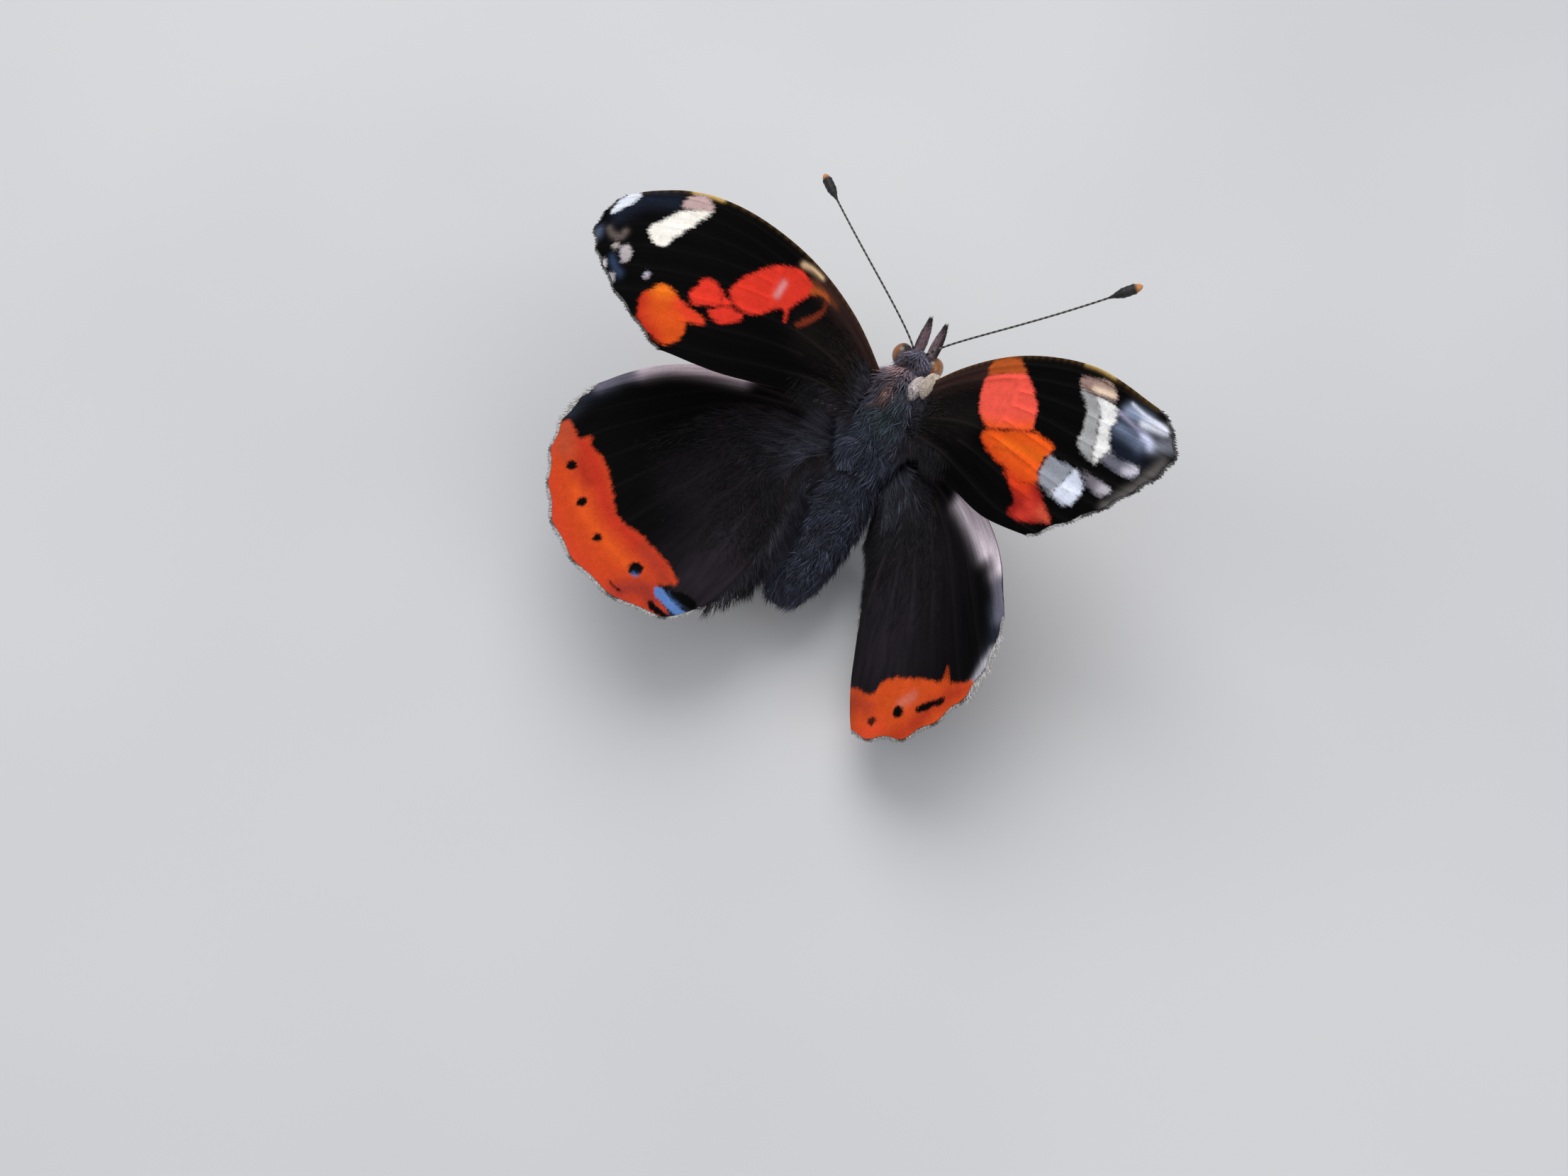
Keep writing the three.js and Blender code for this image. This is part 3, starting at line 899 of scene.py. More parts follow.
@dataclass(frozen=True)
class Streak:
    """A soft stripe of another ground colour along a line on the flat wing."""

    line: tuple[Point, ...]
    width: float
    hue: Colour
    strength: float = 1.0

    def share(self, plan: Array, power: float = 2.0) -> Array:
        """Gives how strongly the stripe colours points.

        Args:
            plan: Points on the flat wing.
            power: How it fades aside; 1 gives it a sharp middle, 2 a soft one.

        Returns:
            The share of each point.
        """
        path = catmull(np.array(self.line, float), np.linspace(0, len(self.line) - 1, 8 * len(self.line)))
        apart = np.min(np.linalg.norm(plan[:, None, :] - path[None], axis=2), axis=1)
        return self.strength * np.exp(-((apart / self.width) ** power))

    def wash(self, tint: Array, plan: Array) -> Array:
        """Lays the stripe over the colours of points on the flat wing."""
        return blend(tint, self.hue, self.share(plan))


@dataclass(frozen=True)
class Pattern:
    """Colours of one face of a wing: a ground with soft stripes, bright marks with a blush, and dots on top."""

    ground: Colour
    marks: tuple[Patch | Spot, ...] = ()
    dots: tuple[Patch | Spot, ...] = ()
    streaks: tuple[Streak, ...] = ()
    blush: tuple[Streak, ...] = ()

    def tones(self, plan: Array) -> dict[str, Array]:
        """Works out the colours.

        Args:
            plan: Points on the flat wing.

        Returns:
            The values to keep, by attribute.
        """
        base = np.tile(np.array(self.ground, float), (len(plan), 1))
        for streak in self.streaks:
            base = streak.wash(base, plan)
        found = {"Ground": base}
        for edge, hue, patches in (("Edge", "Mark", self.marks), ("Dot", "DotHue", self.dots)):
            if not patches:
                found[edge], found[hue] = np.full(len(plan), NOWHERE), np.ones((len(plan), 3))
                continue
            depths = np.array([p.depth(plan) for p in patches])
            weights = np.exp((depths - depths.max(axis=0)) * HUE_SHARPNESS)
            tint = (weights / weights.sum(axis=0)).T @ np.array([p.hue for p in patches])
            for streak in self.blush if edge == "Edge" else ():
                tint = streak.wash(tint, plan)
            found[edge], found[hue] = depths.max(axis=0), tint
        return found


@dataclass(frozen=True)
class WingPlan:
    """A flat wing: its lines from the hinge to the margin, and where each vein starts."""

    hinge: Point
    lines: tuple[tuple[Point, ...], ...]
    veins: tuple[float | None, ...]
    cell: Point | None = None
    scallop: float = 0.42

    def point(self, line: Array, along: Array) -> Array:
        """Finds points of the flat wing.

        Args:
            line: Place across the lines, from 0 to the last line's number.
            along: Place along them, from 0 at the hinge to 1 at the margin.

        Returns:
            Span and rear for each.
        """
        grid = np.array(self.lines, float)
        swept = catmull(np.swapaxes(grid, 0, 1), np.asarray(along) * (grid.shape[1] - 1))
        swept, rows, last = np.swapaxes(swept, 0, 1), np.arange(len(line)), len(grid) - 1
        whole = np.minimum(line.astype(int), last - 1)
        lines = (swept[np.clip(whole + step, 0, last), rows] for step in (-1, 0, 1, 2))
        return between(*lines, (line - whole)[:, None])

    @staticmethod
    def on_map(plan: Array) -> Array:
        """Gives the place of points of the flat wing on a square map of side one."""
        return 0.5 + plan / 64

    def gap(self, line: Array, along: Array) -> Array:
        """Measures the room between the two lines beside each point."""
        low = np.minimum(np.floor(line), len(self.lines) - 2)
        return np.linalg.norm(self.point(low + 1, along) - self.point(low, along), axis=1)


@dataclass(frozen=True)
class WingPose:
    """How a flat wing is held, in degrees, and bent: the heading, start and curvature of each bend."""

    sweep: float
    lift: float
    twist: float
    bends: tuple[Point, ...]


@dataclass(frozen=True)
class HairZone:
    """A zone of a wing's upper face with its own hair: lines and reach as shares, sizes in millimetres."""

    count: int
    lines: Point
    reach: Point
    length: Point
    hues: tuple[Colour, ...]
    lift: float = 12.0
    width: Point = (0.045, 0.075)
    inward: float = 0.0
    locks: float = 0.3
    crowding: float = 1.4
    fading: float = 0.7
    # brightness at the hair tips, the lit end of the painted shade along each tuft
    tip: float = 1.6
    seed: int = 1


@dataclass
class Wing:
    """One wing: a thin veined membrane with a pattern on each face.

    Fringes are the lines between which the margin's scales are paler and longer, and by how much. Worn is the line,
    the breadth in lines and the depth in millimetres of the place where the margin is drawn in.
    """

    name: str
    side: Side
    plan: WingPlan
    pose: WingPose
    upper: Pattern
    zones: tuple[HairZone, ...]
    fringes: tuple[Point, ...]
    under: Pattern = Pattern(UNDER_BROWN)
    creases: tuple[Streak, ...] = ()
    worn: Point = (0.0, 1.0, 0.0)
    vein_hue: Colour = (0.02, 0.0155, 0.0135)
    thickness: float = 0.17
    steps_across: int = 9
    steps_along: int = 130

    def bend(self, plan: Array, height: Array) -> Array:
        """Bends flat points to where the wing holds them.

        Args:
            plan: Span and rear, in millimetres.
            height: Height over the flat wing's middle.

        Returns:
            Points in the frame of the solids, in millimetres.
        """
        p = np.column_stack([plan, height])
        for heading, start, curvature in self.pose.bends:
            way = np.array([math.cos(math.radians(heading)), math.sin(math.radians(heading)), 0])
            past = np.maximum(p @ way - start, 0)
            bent = past * curvature
            z = p[:, 2].copy()
            p += way * ((1 / curvature + z) * np.sin(bent) - past)[:, None]
            p[:, 2] = z + (1 / curvature + z) * (np.cos(bent) - 1)
        p = turn(turn(turn(p, "X", self.pose.twist), "Z", -self.pose.sweep), "Y", -self.pose.lift)
        p += self.plan.hinge
        p[:, 0] *= self.side.value
        return STANCE.from_body(p)

    def reach(self, line: Array) -> tuple[Array, Array]:
        """Finds where along its line the wing leaves the thorax and where its margin is.

        Args:
            line: Places across the wing.

        Returns:
            The share along the line of the root and of the margin.
        """
        root = np.zeros(len(line))
        for t in np.linspace(0.0, 0.3, 61):
            p = self.bend(self.plan.point(line, np.full(len(line), t)), np.zeros(len(line)))
            root = np.where(Body.outside(p) < -ROOT_DEPTH, t, root)
        middle = np.sin(np.pi * (line % 1)) ** 1.4
        length = np.linalg.norm(self.plan.point(line, np.ones(len(line))) - self.plan.point(line, root), axis=1)
        at, broad, cut = self.worn
        drawn_in = self.plan.scallop * middle + cut * np.exp(-(((line - at) / broad) ** 2))
        return root, 1 - drawn_in / length

    def relief(self, line: Array, along: Array, plan: Array) -> tuple[Array, Array]:
        """Gives the veins, the folds between them and the creases.

        Args:
            line: Place across the wing.
            along: Place along it.
            plan: The same points on the flat wing.

        Returns:
            Height over the flat membrane, and how much of a vein each point is.
        """
        near = np.round(line).astype(int)
        gap = self.plan.gap(line, along)
        apart = np.abs(line - near) * gap
        start = np.array([2.0 if v is None else v for v in self.plan.veins])[near]
        width = VEIN_WIDTH - VEIN_NARROWING * along
        vein = np.exp(-((apart / width) ** 2)) * smooth(0, 0.04, along - start + 0.02) * smooth(0.2, 0.8, gap)
        if self.plan.cell:
            low, high = self.plan.cell
            across = np.exp(-(((along - 0.5) * 24 / 0.22) ** 2)) * (line > low) * (line < high)
            vein = np.maximum(vein, across * 0.8)
        fold = np.sin(2 * np.pi * (line % 1)) * smooth(0.6, 2.0, gap) * smooth(0.15, 0.6, along)
        ripple = np.sin(plan[:, 0] * 1.9 + np.sin(plan[:, 1] * 1.3)) * smooth(0.7, 1, along)
        height = vein * (VEIN_HEIGHT - VEIN_LOWERING * along) + fold * FOLD_HEIGHT + ripple * RIPPLE_HEIGHT
        for crease in self.creases:
            height += crease.share(plan, 1)
        return height, vein

    def net(self) -> tuple[BMesh, Array, Array]:
        """Spreads a grid over the wing.

        Returns:
            The mesh of one face of the wing, and each vertex's place across and along it.
        """
        shape = bmesh.new()
        across = (len(self.plan.lines) - 1) * self.steps_across
        bmesh.ops.create_grid(shape, x_segments=across, y_segments=self.steps_along, size=0.5)
        spots = np.array([v.co[:2] for v in shape.verts]) + 0.5
        line = np.clip(spots[:, 0], 0, 1) * (len(self.plan.lines) - 1)
        root, margin = self.reach(line)
        return shape, line, root + (margin - root) * np.clip(spots[:, 1], 0, 1)

    def build(self, finish: Material) -> Object:
        """Models the wing and keeps its colours on the mesh.

        Args:
            finish: The scaly material.

        Returns:
            The wing.
        """
        shape, line, along = self.net()
        plan = self.plan.point(line, along)
        height, vein = self.relief(line, along, plan)
        lower = bmesh.ops.duplicate(shape, geom=shape.verts[:] + shape.edges[:] + shape.faces[:])["geom"]
        twins = [g for g in lower if isinstance(g, BMVert)]
        half = self.thickness / 2 * (1 - 0.45 * smooth(0.9, 1, along)) + vein * 0.03
        put(shape.verts[:len(line)], self.bend(plan, height + half))
        put(twins, self.bend(plan, height - half))
        bmesh.ops.reverse_faces(shape, faces=[g for g in lower if isinstance(g, BMFace)])
        rim = [e for e in shape.edges if e.is_boundary]
        bmesh.ops.bridge_loops(shape, edges=rim)
        bmesh.ops.recalc_face_normals(shape, faces=shape.faces)
        piece = place(shape, self.name, finish, [self.name], sharp=50)
        self.colour(piece.data, plan, line, along, vein)
        return piece

    def colour(self, mesh: Mesh, plan: Array, line: Array, along: Array, vein: Array) -> None:
        """Keeps the colours of both faces on the mesh, the upper face's first.

        Args:
            mesh: The wing.
            plan: Points of one face on the flat wing.
            line: Their place across it.
            along: Their place along it.
            vein: How much of a vein each one is.
        """
        length = np.linalg.norm(plan - self.plan.point(line, np.zeros(len(line))), axis=1)
        lay = np.column_stack([line * 2.0, length, np.zeros(len(line))])
        keep(mesh, "Lay", np.tile(lay, (2, 1)))
        keep(mesh, "Vein", np.concatenate([vein * (0.12 + 0.9 * smooth(0.5, 0.15, along)), vein * 0.7]))
        keep(mesh, "Under", np.repeat([0.0, 1.0], len(line)))
        paint(mesh, "VeinHue", self.vein_hue)
        under = self.under.tones(plan)
        for key, upper in self.upper.tones(plan).items():
            store = keep if upper.ndim == 1 else paint
            store(mesh, key, np.concatenate([upper, under[key]]))

    def frame_at(self, line: Array, along: Array) -> tuple[Array, Array, Array, Array]:
        """Finds the upper face of the wing and its directions.

        Args:
            line: Places across the wing.
            along: Places along it.

        Returns:
            The points, the upward normals, the directions towards the margin, and the flat points.
        """
        plan = self.plan.point(line, along)
        height = self.relief(line, along, plan)[0] + self.thickness / 2
        here = self.bend(plan, height)
        out = self.bend(self.plan.point(line, along + 0.01), height)
        out -= self.bend(self.plan.point(line, along - 0.01), height)
        step = np.where(line < 0.1, 0.05, -0.05)
        over = (self.bend(self.plan.point(line + step, along), height) - here) * np.sign(step)[:, None]
        return here, unit(np.cross(out, over) * self.side.value), unit(out), plan

    def hair(self, zone: HairZone) -> Tufts:
        """Grows hair on one zone of the upper face.

        Args:
            zone: Where it grows and how.

        Returns:
            The tufts.
        """
        random = np.random.default_rng(zone.seed)
        count = zone.count
        line = random.uniform(*zone.lines, count)
        root, margin = self.reach(line)
        deep = random.uniform(0, 1, count) ** zone.crowding * random.uniform(0.7, 1.25, count)
        share = np.minimum(zone.reach[0] + (zone.reach[1] - zone.reach[0]) * deep, 0.97)
        along = root + (margin - root) * share
        here, normal, out, plan = self.frame_at(line, along)
        across = np.cross(normal, out) * self.side.value
        locks = comb(here, 2.2, zone.seed) * zone.locks + random.normal(0, 0.1, count) + zone.inward
        length = random.uniform(*zone.length, count) * (1 - 0.4 * deep)
        lift = np.radians(zone.lift) + random.normal(0, 0.07, count)
        hues = np.array(zone.hues)[random.integers(0, len(zone.hues), count)]
        tint = hues * random.uniform(0.6, 1.4, (count, 1)) * (1 + 0.5 * comb(here, 1.1, zone.seed + 9)[:, None])
        tint = tint * (1 - zone.fading * smooth(0.3, 0.95, deep))[:, None]
        return Tufts(here, normal, out + across * locks[:, None], length, random.uniform(*zone.width, count), lift,
                     tint, self.plan.on_map(plan), random.normal(0, 0.1, count), tip=zone.tip)

    def fringe(self) -> Tufts:
        """Sets the row of scale locks along the margin, pale between the veins and dark at their ends.

        Returns:
            The tufts.
        """
        random = np.random.default_rng(77)
        last = len(self.plan.lines) - 1
        at = np.linspace(0.02, last - 0.02, 2600)
        rim = self.bend(self.plan.point(at, self.reach(at)[1]), np.zeros(len(at)))
        run = run_along(rim)
        line = np.interp(np.arange(0.05, run[-1], 0.03), run, at)
        count = len(line)
        here, normal, out, plan = self.frame_at(line, self.reach(line)[1] - 0.003)
        here = here - normal * self.thickness * random.uniform(0.2, 0.7, count)[:, None]
        amid = smooth(0.06, 0.2, 0.5 - np.abs(line % 1 - 0.5))
        pale, longer = np.zeros(count), np.ones(count)
        for start, end, strength in self.fringes:
            inside = (line > start) & (line < end)
            share = np.minimum(strength * (0.35 + 0.65 * amid if strength < 1 else 1), 1)
            pale = np.where(inside, np.maximum(pale, share), pale)
            longer = np.where(inside, np.maximum(longer, strength), longer)
        tint = blend(FRINGE_DARK, FRINGE_PALE, pale) * random.uniform(0.7, 1.2, (count, 1))
        length = random.uniform(0.28, 0.46, count) * (0.75 + 0.25 * amid) * longer
        spread = random.normal(0, 0.14, count)
        lay = out + np.cross(normal, out) * spread[:, None]
        return Tufts(here, normal, lay, length, random.uniform(0.09, 0.14, count), random.normal(0, 0.08, count),
                     tint, self.plan.on_map(plan), spread, tip=1.1)


# Body


@dataclass(frozen=True)
class BodyPatch:
    """A patch of another colour on the body: its place, its half length in millimetres and half breadth in degrees."""

    along: float
    turned: float
    long: float
    broad: float
    hue: Colour
    strength: float


@dataclass
class Body:
    """Head, thorax and abdomen under one skin. Stations: along, half width, half height, rise."""

    waist_at: float = 12.2
    front: float = -7.6
    abdomen: float = 13.0
    map_length: float = 26.0
    stations: tuple[Point, ...] = (
        (0.0, 0.05, 0.05, -0.4), (0.35, 0.75, 0.7, -0.4), (0.9, 1.2, 1.15, -0.38), (1.5, 1.35, 1.3, -0.32),
        (2.2, 1.2, 1.2, -0.28), (2.8, 1.2, 1.35, -0.2), (3.4, 1.6, 1.7, -0.1), (4.4, 2.05, 2.2, 0.0),
        (5.9, 2.45, 2.6, 0.0), (7.6, 2.65, 2.8, 0.0), (8.8, 2.6, 2.75, 0.0), (10.1, 2.35, 2.5, -0.1),
        (11.4, 1.9, 2.05, -0.25), (12.2, 1.75, 1.7, -0.35), (13.2, 1.9, 1.75, -0.35), (14.5, 2.2, 2.0, -0.35),
        (16.1, 2.5, 2.25, -0.35), (18.7, 2.5, 2.2, -0.35), (21.2, 2.2, 1.95, -0.35), (23.2, 1.75, 1.55, -0.35),
        (24.4, 1.15, 1.0, -0.35), (25.0, 0.6, 0.5, -0.35), (25.2, 0.03, 0.03, -0.35))
    segments: int = 7
    head_hue: Colour = (0.17, 0.16, 0.215)
    thorax_hue: Colour = (0.055, 0.06, 0.092)
    abdomen_hue: Colour = (0.032, 0.035, 0.056)
    belly_hue: Colour = (0.09, 0.062, 0.045)
    silver: Colour = (0.055, 0.068, 0.075)
    patches: tuple[BodyPatch, ...] = (
        BodyPatch(4.0, 90, 1.1, 60, (0.13, 0.125, 0.16), 0.75), BodyPatch(2.55, 70, 0.9, 24, (0.42, 0.26, 0.26), 0.9),
        BodyPatch(2.3, 110, 0.7, 18, (0.15, 0.12, 0.14), 0.6), BodyPatch(5.0, 84, 1.0, 10, (0.36, 0.17, 0.115), 0.9),
        BodyPatch(5.2, 28, 1.8, 16, (0.26, 0.14, 0.105), 0.85), BodyPatch(6.2, 156, 1.7, 10, (0.3, 0.19, 0.15), 0.85),
        BodyPatch(6.8, 102, 1.8, 26, (0.042, 0.066, 0.07), 0.8), BodyPatch(8.0, 46, 1.4, 12, (0.11, 0.125, 0.16), 0.6),
        BodyPatch(8.4, 140, 1.6, 12, (0.1, 0.11, 0.15), 0.6), BodyPatch(11.2, 90, 0.6, 66, (0.13, 0.145, 0.2), 0.75),
        BodyPatch(12.5, 90, 0.6, 80, (0.01, 0.01, 0.014), 0.9))

    @staticmethod
    def outside(points: Array) -> Array:
        """Measures how far outside the solid thorax points are.

        Args:
            points: Points in the frame of the solids.

        Returns:
            Their distances, negative inside.
        """
        front, back = THORAX_ENDS
        x, y, z = turn(np.asarray(points, float) - STANCE.shift - (0, 0, STANCE.height), "X", STANCE.pitch).T
        swell = np.sin(np.pi * (0.14 + 0.64 * np.clip((y - front) / (back - front), 0, 1))) ** 0.8
        half_width, half_height = (half * swell for half in THORAX_HALF)
        beside = (np.hypot(x / half_width, z / half_height) - 1) * half_width
        return np.maximum(np.maximum(beside, front - y), y - back)

    def ring(self, along: Array) -> Array:
        """Numbers places along the body by the rings of the abdomen."""
        return (along - self.waist_at) / self.abdomen * self.segments

    def skin_point(self, along: Array, angle: Array) -> Array:
        """Finds points on the skin.

        Args:
            along: Distance from the front of the head.
            angle: Turn about the body in radians, 0 at the left and a quarter turn at the top.

        Returns:
            Points in the frame of the solids, in millimetres.
        """
        table = np.array(self.stations)
        dense = np.linspace(0, table[-1, 0], 400)
        rounded = catmull(table, np.interp(dense, table[:, 0], np.arange(len(table))))
        width, high, rise = (np.interp(along, rounded[:, 0], rounded[:, i]) for i in (1, 2, 3))
        groove = np.abs(np.sin(np.pi * self.ring(along))) ** 0.5 * smooth(12.6, 13.6, along)
        narrowing, lift = 0.97 + 0.045 * groove, self.swell(along, angle)
        across, up = (width * narrowing + lift) * np.cos(angle), (high * narrowing + lift) * np.sin(angle)
        before = np.column_stack([across, along + self.front, up + rise])
        behind = np.column_stack([across, along - self.waist_at, up])
        share = smooth(self.waist_at - 1.2, self.waist_at + 1.4, along)[:, None]
        return STANCE.from_body(before) * (1 - share) + STANCE.from_abdomen(behind) * share

    @staticmethod
    def swell(along: Array, angle: Array) -> Array:
        """Gives the plates of the thorax: shoulder covers, the back plate and the small shield behind it.

        Args:
            along: Distance from the front of the head.
            angle: Turn about the body.

        Returns:
            Their height over the plain skin.
        """
        aside = np.abs(angle % (2 * math.pi) - math.pi / 2)
        back = aside < math.pi
        cover = np.exp(-(((along - 6.3) / 1.9) ** 4) - ((aside - 1.02) / 0.26) ** 2)
        seam = np.exp(-(((along - 6.3) / 2.1) ** 4) - ((aside - 0.68) / 0.09) ** 2)
        shield = np.exp(-(((along - 10.35) / 0.55) ** 2) - (aside / 0.62) ** 4)
        step = np.exp(-(((along - 9.45) / 0.22) ** 2) - (aside / 0.9) ** 4)
        collar = np.exp(-(((along - 3.95) / 0.42) ** 2) - ((aside - 0.5) / 0.4) ** 2)
        middle = np.exp(-((aside / 0.07) ** 2) - ((along - 6.5) / 2.2) ** 4)
        return back * (0.2 * cover - 0.14 * seam + 0.24 * shield - 0.16 * step + 0.22 * collar - 0.07 * middle)

    def tint(self, along: Array, angle: Array) -> Array:
        """Gives the colour of skin and hair.

        Args:
            along: Distance from the front of the head.
            angle: Turn about the body.

        Returns:
            One colour for each place.
        """
        tone = blend(self.head_hue, self.thorax_hue, smooth(2.4, 4.2, along))
        tone = blend(tone, self.abdomen_hue, smooth(11.0, 13.0, along))
        tone = blend(tone, self.belly_hue, smooth(0.1, 0.9, -np.sin(angle)))
        for patch in self.patches:
            apart = (np.degrees(angle) % 360 - patch.turned) / patch.broad
            near = np.exp(-(((along - patch.along) / patch.long) ** 2 + apart**2))
            tone = blend(tone, patch.hue, patch.strength * near)
        return tone

    def build(self, finish: Material) -> Object:
        """Models the skin from a ball drawn out along the body.

        Args:
            finish: The hairy material.

        Returns:
            The skin.
        """
        shape = bmesh.new()
        bmesh.ops.create_uvsphere(shape, u_segments=72, v_segments=190, radius=1)
        ball = np.array([v.co[:] for v in shape.verts])
        share = np.arccos(np.clip(ball[:, 2], -1, 1)) / math.pi
        along = share * self.stations[-1][0]
        angle = np.arctan2(ball[:, 1], ball[:, 0])
        put(shape.verts, self.skin_point(along, angle))
        bmesh.ops.recalc_face_normals(shape, faces=shape.faces)
        piece = place(shape, "skin", finish, ["head", "thorax", "abdomen"])
        paint(piece.data, "Tint", self.tint(along, angle))
        return piece

    def frame_at(self, along: Array, angle: Array) -> tuple[Array, Array, Array]:
        """Finds the skin and its directions.

        Args:
            along: Distance from the front of the head.
            angle: Turn about the body.

        Returns:
            The points, the outward normals and the directions towards the tail.
        """
        here = self.skin_point(along, angle)
        back = self.skin_point(along + 0.05, angle) - self.skin_point(along - 0.05, angle)
        across = self.skin_point(along, angle + 0.02) - self.skin_point(along, angle - 0.02)
        return here, unit(np.cross(back, across)), unit(back)

    def roots(self, start: float, end: float, apart: float, seed: int) -> tuple[Array, Array]:
        """Spreads hair roots evenly over a stretch of the body.

        Args:
            start: Where the stretch starts.
            end: Where it ends.
            apart: Room between two roots.
            seed: Picks how they are shaken.

        Returns:
            Their distance from the front of the head and their turn about the body.
        """
        random = np.random.default_rng(seed)
        table = np.array(self.stations)
        alongs, angles = [], []
        for at in np.arange(start, end, apart):
            girth = np.interp(at, table[:, 0], table[:, 1] + table[:, 2])
            count = max(3, int(math.pi * girth / apart))
            angles.append((np.arange(count) + random.uniform(0, 1, count)) / count * 2 * math.pi)
            alongs.append(at + random.uniform(-0.5, 0.5, count) * apart)
        return np.concatenate(alongs), np.concatenate(angles)

    def hair(self, start: float, end: float, apart: float, seed: int, longer: float = 1.0) -> Tufts:
        """Grows hair over a stretch of the body, longer at the sides and short on the face.

        Args:
            start: Where the stretch starts.
            end: Where it ends.
            apart: Room between two roots.
            seed: Picks the pattern.
            longer: How much longer and wilder it is than the close coat.

        Returns:
            The tufts.
        """
        random = np.random.default_rng(seed + 50)
        along, angle = self.roots(start, end, apart, seed)
        here, normal, back = self.frame_at(along, angle)
        count = len(along)
        top, side = np.clip(np.sin(angle), 0, 1), np.abs(np.cos(angle))
        on_head, on_tail = smooth(3.2, 2.2, along), smooth(11.6, 13.0, along)
        on_chest = (1 - on_head) * (1 - on_tail)
        crown = on_head * smooth(0.05, 0.5, top) * smooth(0.4, 1.0, along)
        neck = np.exp(-(((along - 2.9) / 0.55) ** 2)) * smooth(-0.3, 0.2, np.sin(angle))
        waist = np.exp(-(((along - 12.0) / 1.2) ** 2))
        length = on_head * 0.36 + crown * 0.42 + on_chest * (1.15 + 0.35 * side)
        length += on_tail * (0.7 + 0.3 * side) * (1 + 0.45 * smooth(0.6, 0.95, self.ring(along) % 1))
        length = longer * (length + 0.55 * neck + (0.4 + 0.7 * side) * waist + 0.45 * crown)
        length *= random.uniform(0.65, 1.25, count) * smooth(25.4, 24.3, along).clip(0.55, 1)
        lift = 30 * on_head + 20 * crown + on_chest * (20 + 12 * side) + on_tail * (18 + 8 * side) + 22 * neck
        lift = np.radians(lift) + random.normal(0, 0.1 * longer, count)
        locks = comb(here, 1.6, seed) * (0.5 * on_chest + 0.28 * on_tail + 0.3 * crown) * longer
        locks += random.normal(0, 0.14 * longer, count)
        spread = 0.3 * on_chest + 1.7 * crown + 0.12 * on_tail + 0.5 * neck
        lay = back + np.cross(normal, back) * (locks - np.cos(angle) * spread)[:, None]
        tint = self.tint(along, angle) * random.uniform(0.6, 1.5, (count, 1))
        tint *= 1.15 + 0.6 * comb(here, 0.7, seed + 9)[:, None]
        silver = (random.uniform(0, 1, count) < 0.16 * on_chest + 0.07 * on_tail)[:, None]
        tint = np.where(silver, tint * 0.5 + np.array(self.silver), tint)
        width = random.uniform(0.06, 0.1, count) * (0.4 + 0.6 * longer)
        patch = np.column_stack([angle / (2 * math.pi), along / self.map_length])
        return Tufts(here, normal, lay, length, width, lift, tint, patch, random.normal(0, 0.12, count))

    def coat(self, finish: Material) -> None:
        """Covers head, thorax and abdomen with hair.

        Args:
            finish: The hairy material.
        """
        face = self.hair(0.25, 3.1, 0.075, 3)
        bare = np.zeros(len(face.root), bool)
        for side in Side:
            eye = Eye(side)
            apart = face.root - STANCE.from_body(side.of(eye.middle))
            bare |= np.linalg.norm(apart / (np.array(eye.half) * 0.97), axis=1) < 1
        face.only(~bare).build("head_hair", finish, Slot.HAIR)
        self.hair(3.0, 12.5, 0.088, 4).build("thorax_hair", finish, Slot.HAIR)
        self.hair(3.5, 12.2, 0.15, 6, 1.5).build("thorax_locks", finish, Slot.HAIR)
        self.hair(12.3, 25.15, 0.094, 5).build("abdomen_hair", finish, Slot.HAIR)
        self.hair(12.8, 24.9, 0.19, 7, 1.6).build("abdomen_locks", finish, Slot.HAIR)


@dataclass
class Eye:
    """A compound eye: an egg of domed six-sided facets."""

    side: Side
    half: Point = (0.84, 0.98, 1.1)
    middle: Point = (1.48, -6.5, -0.25)

    def build(self, finish: Material) -> Object:
        """Models the eye.

        Args:
            finish: The glossy material.

        Returns:
            The eye.
        """
        shape = bmesh.new()
        bmesh.ops.create_icosphere(shape, subdivisions=5, radius=1)
        centres = shape.verts[:]
        bmesh.ops.bevel(shape, geom=centres, offset=34, offset_type="PERCENT", segments=1, profile=0.5,
                        affect="VERTICES", material=-1)
        bmesh.ops.recalc_face_normals(shape, faces=shape.faces)
        for vertex in bmesh.ops.poke(shape, faces=[f for f in shape.faces if len(f.verts) > 4])["verts"]:
            vertex.co *= 1.012
        spots = np.array([v.co[:] for v in shape.verts])
        put(shape.verts, STANCE.from_body(spots * self.half + self.side.of(self.middle)))
        name = f"eye_{self.side.word}"
        piece = place(shape, name, finish, [name])
        keep(piece.data, "Rim", 0.62 - spots[:, 0] * self.side.value * 0.5)
        return piece


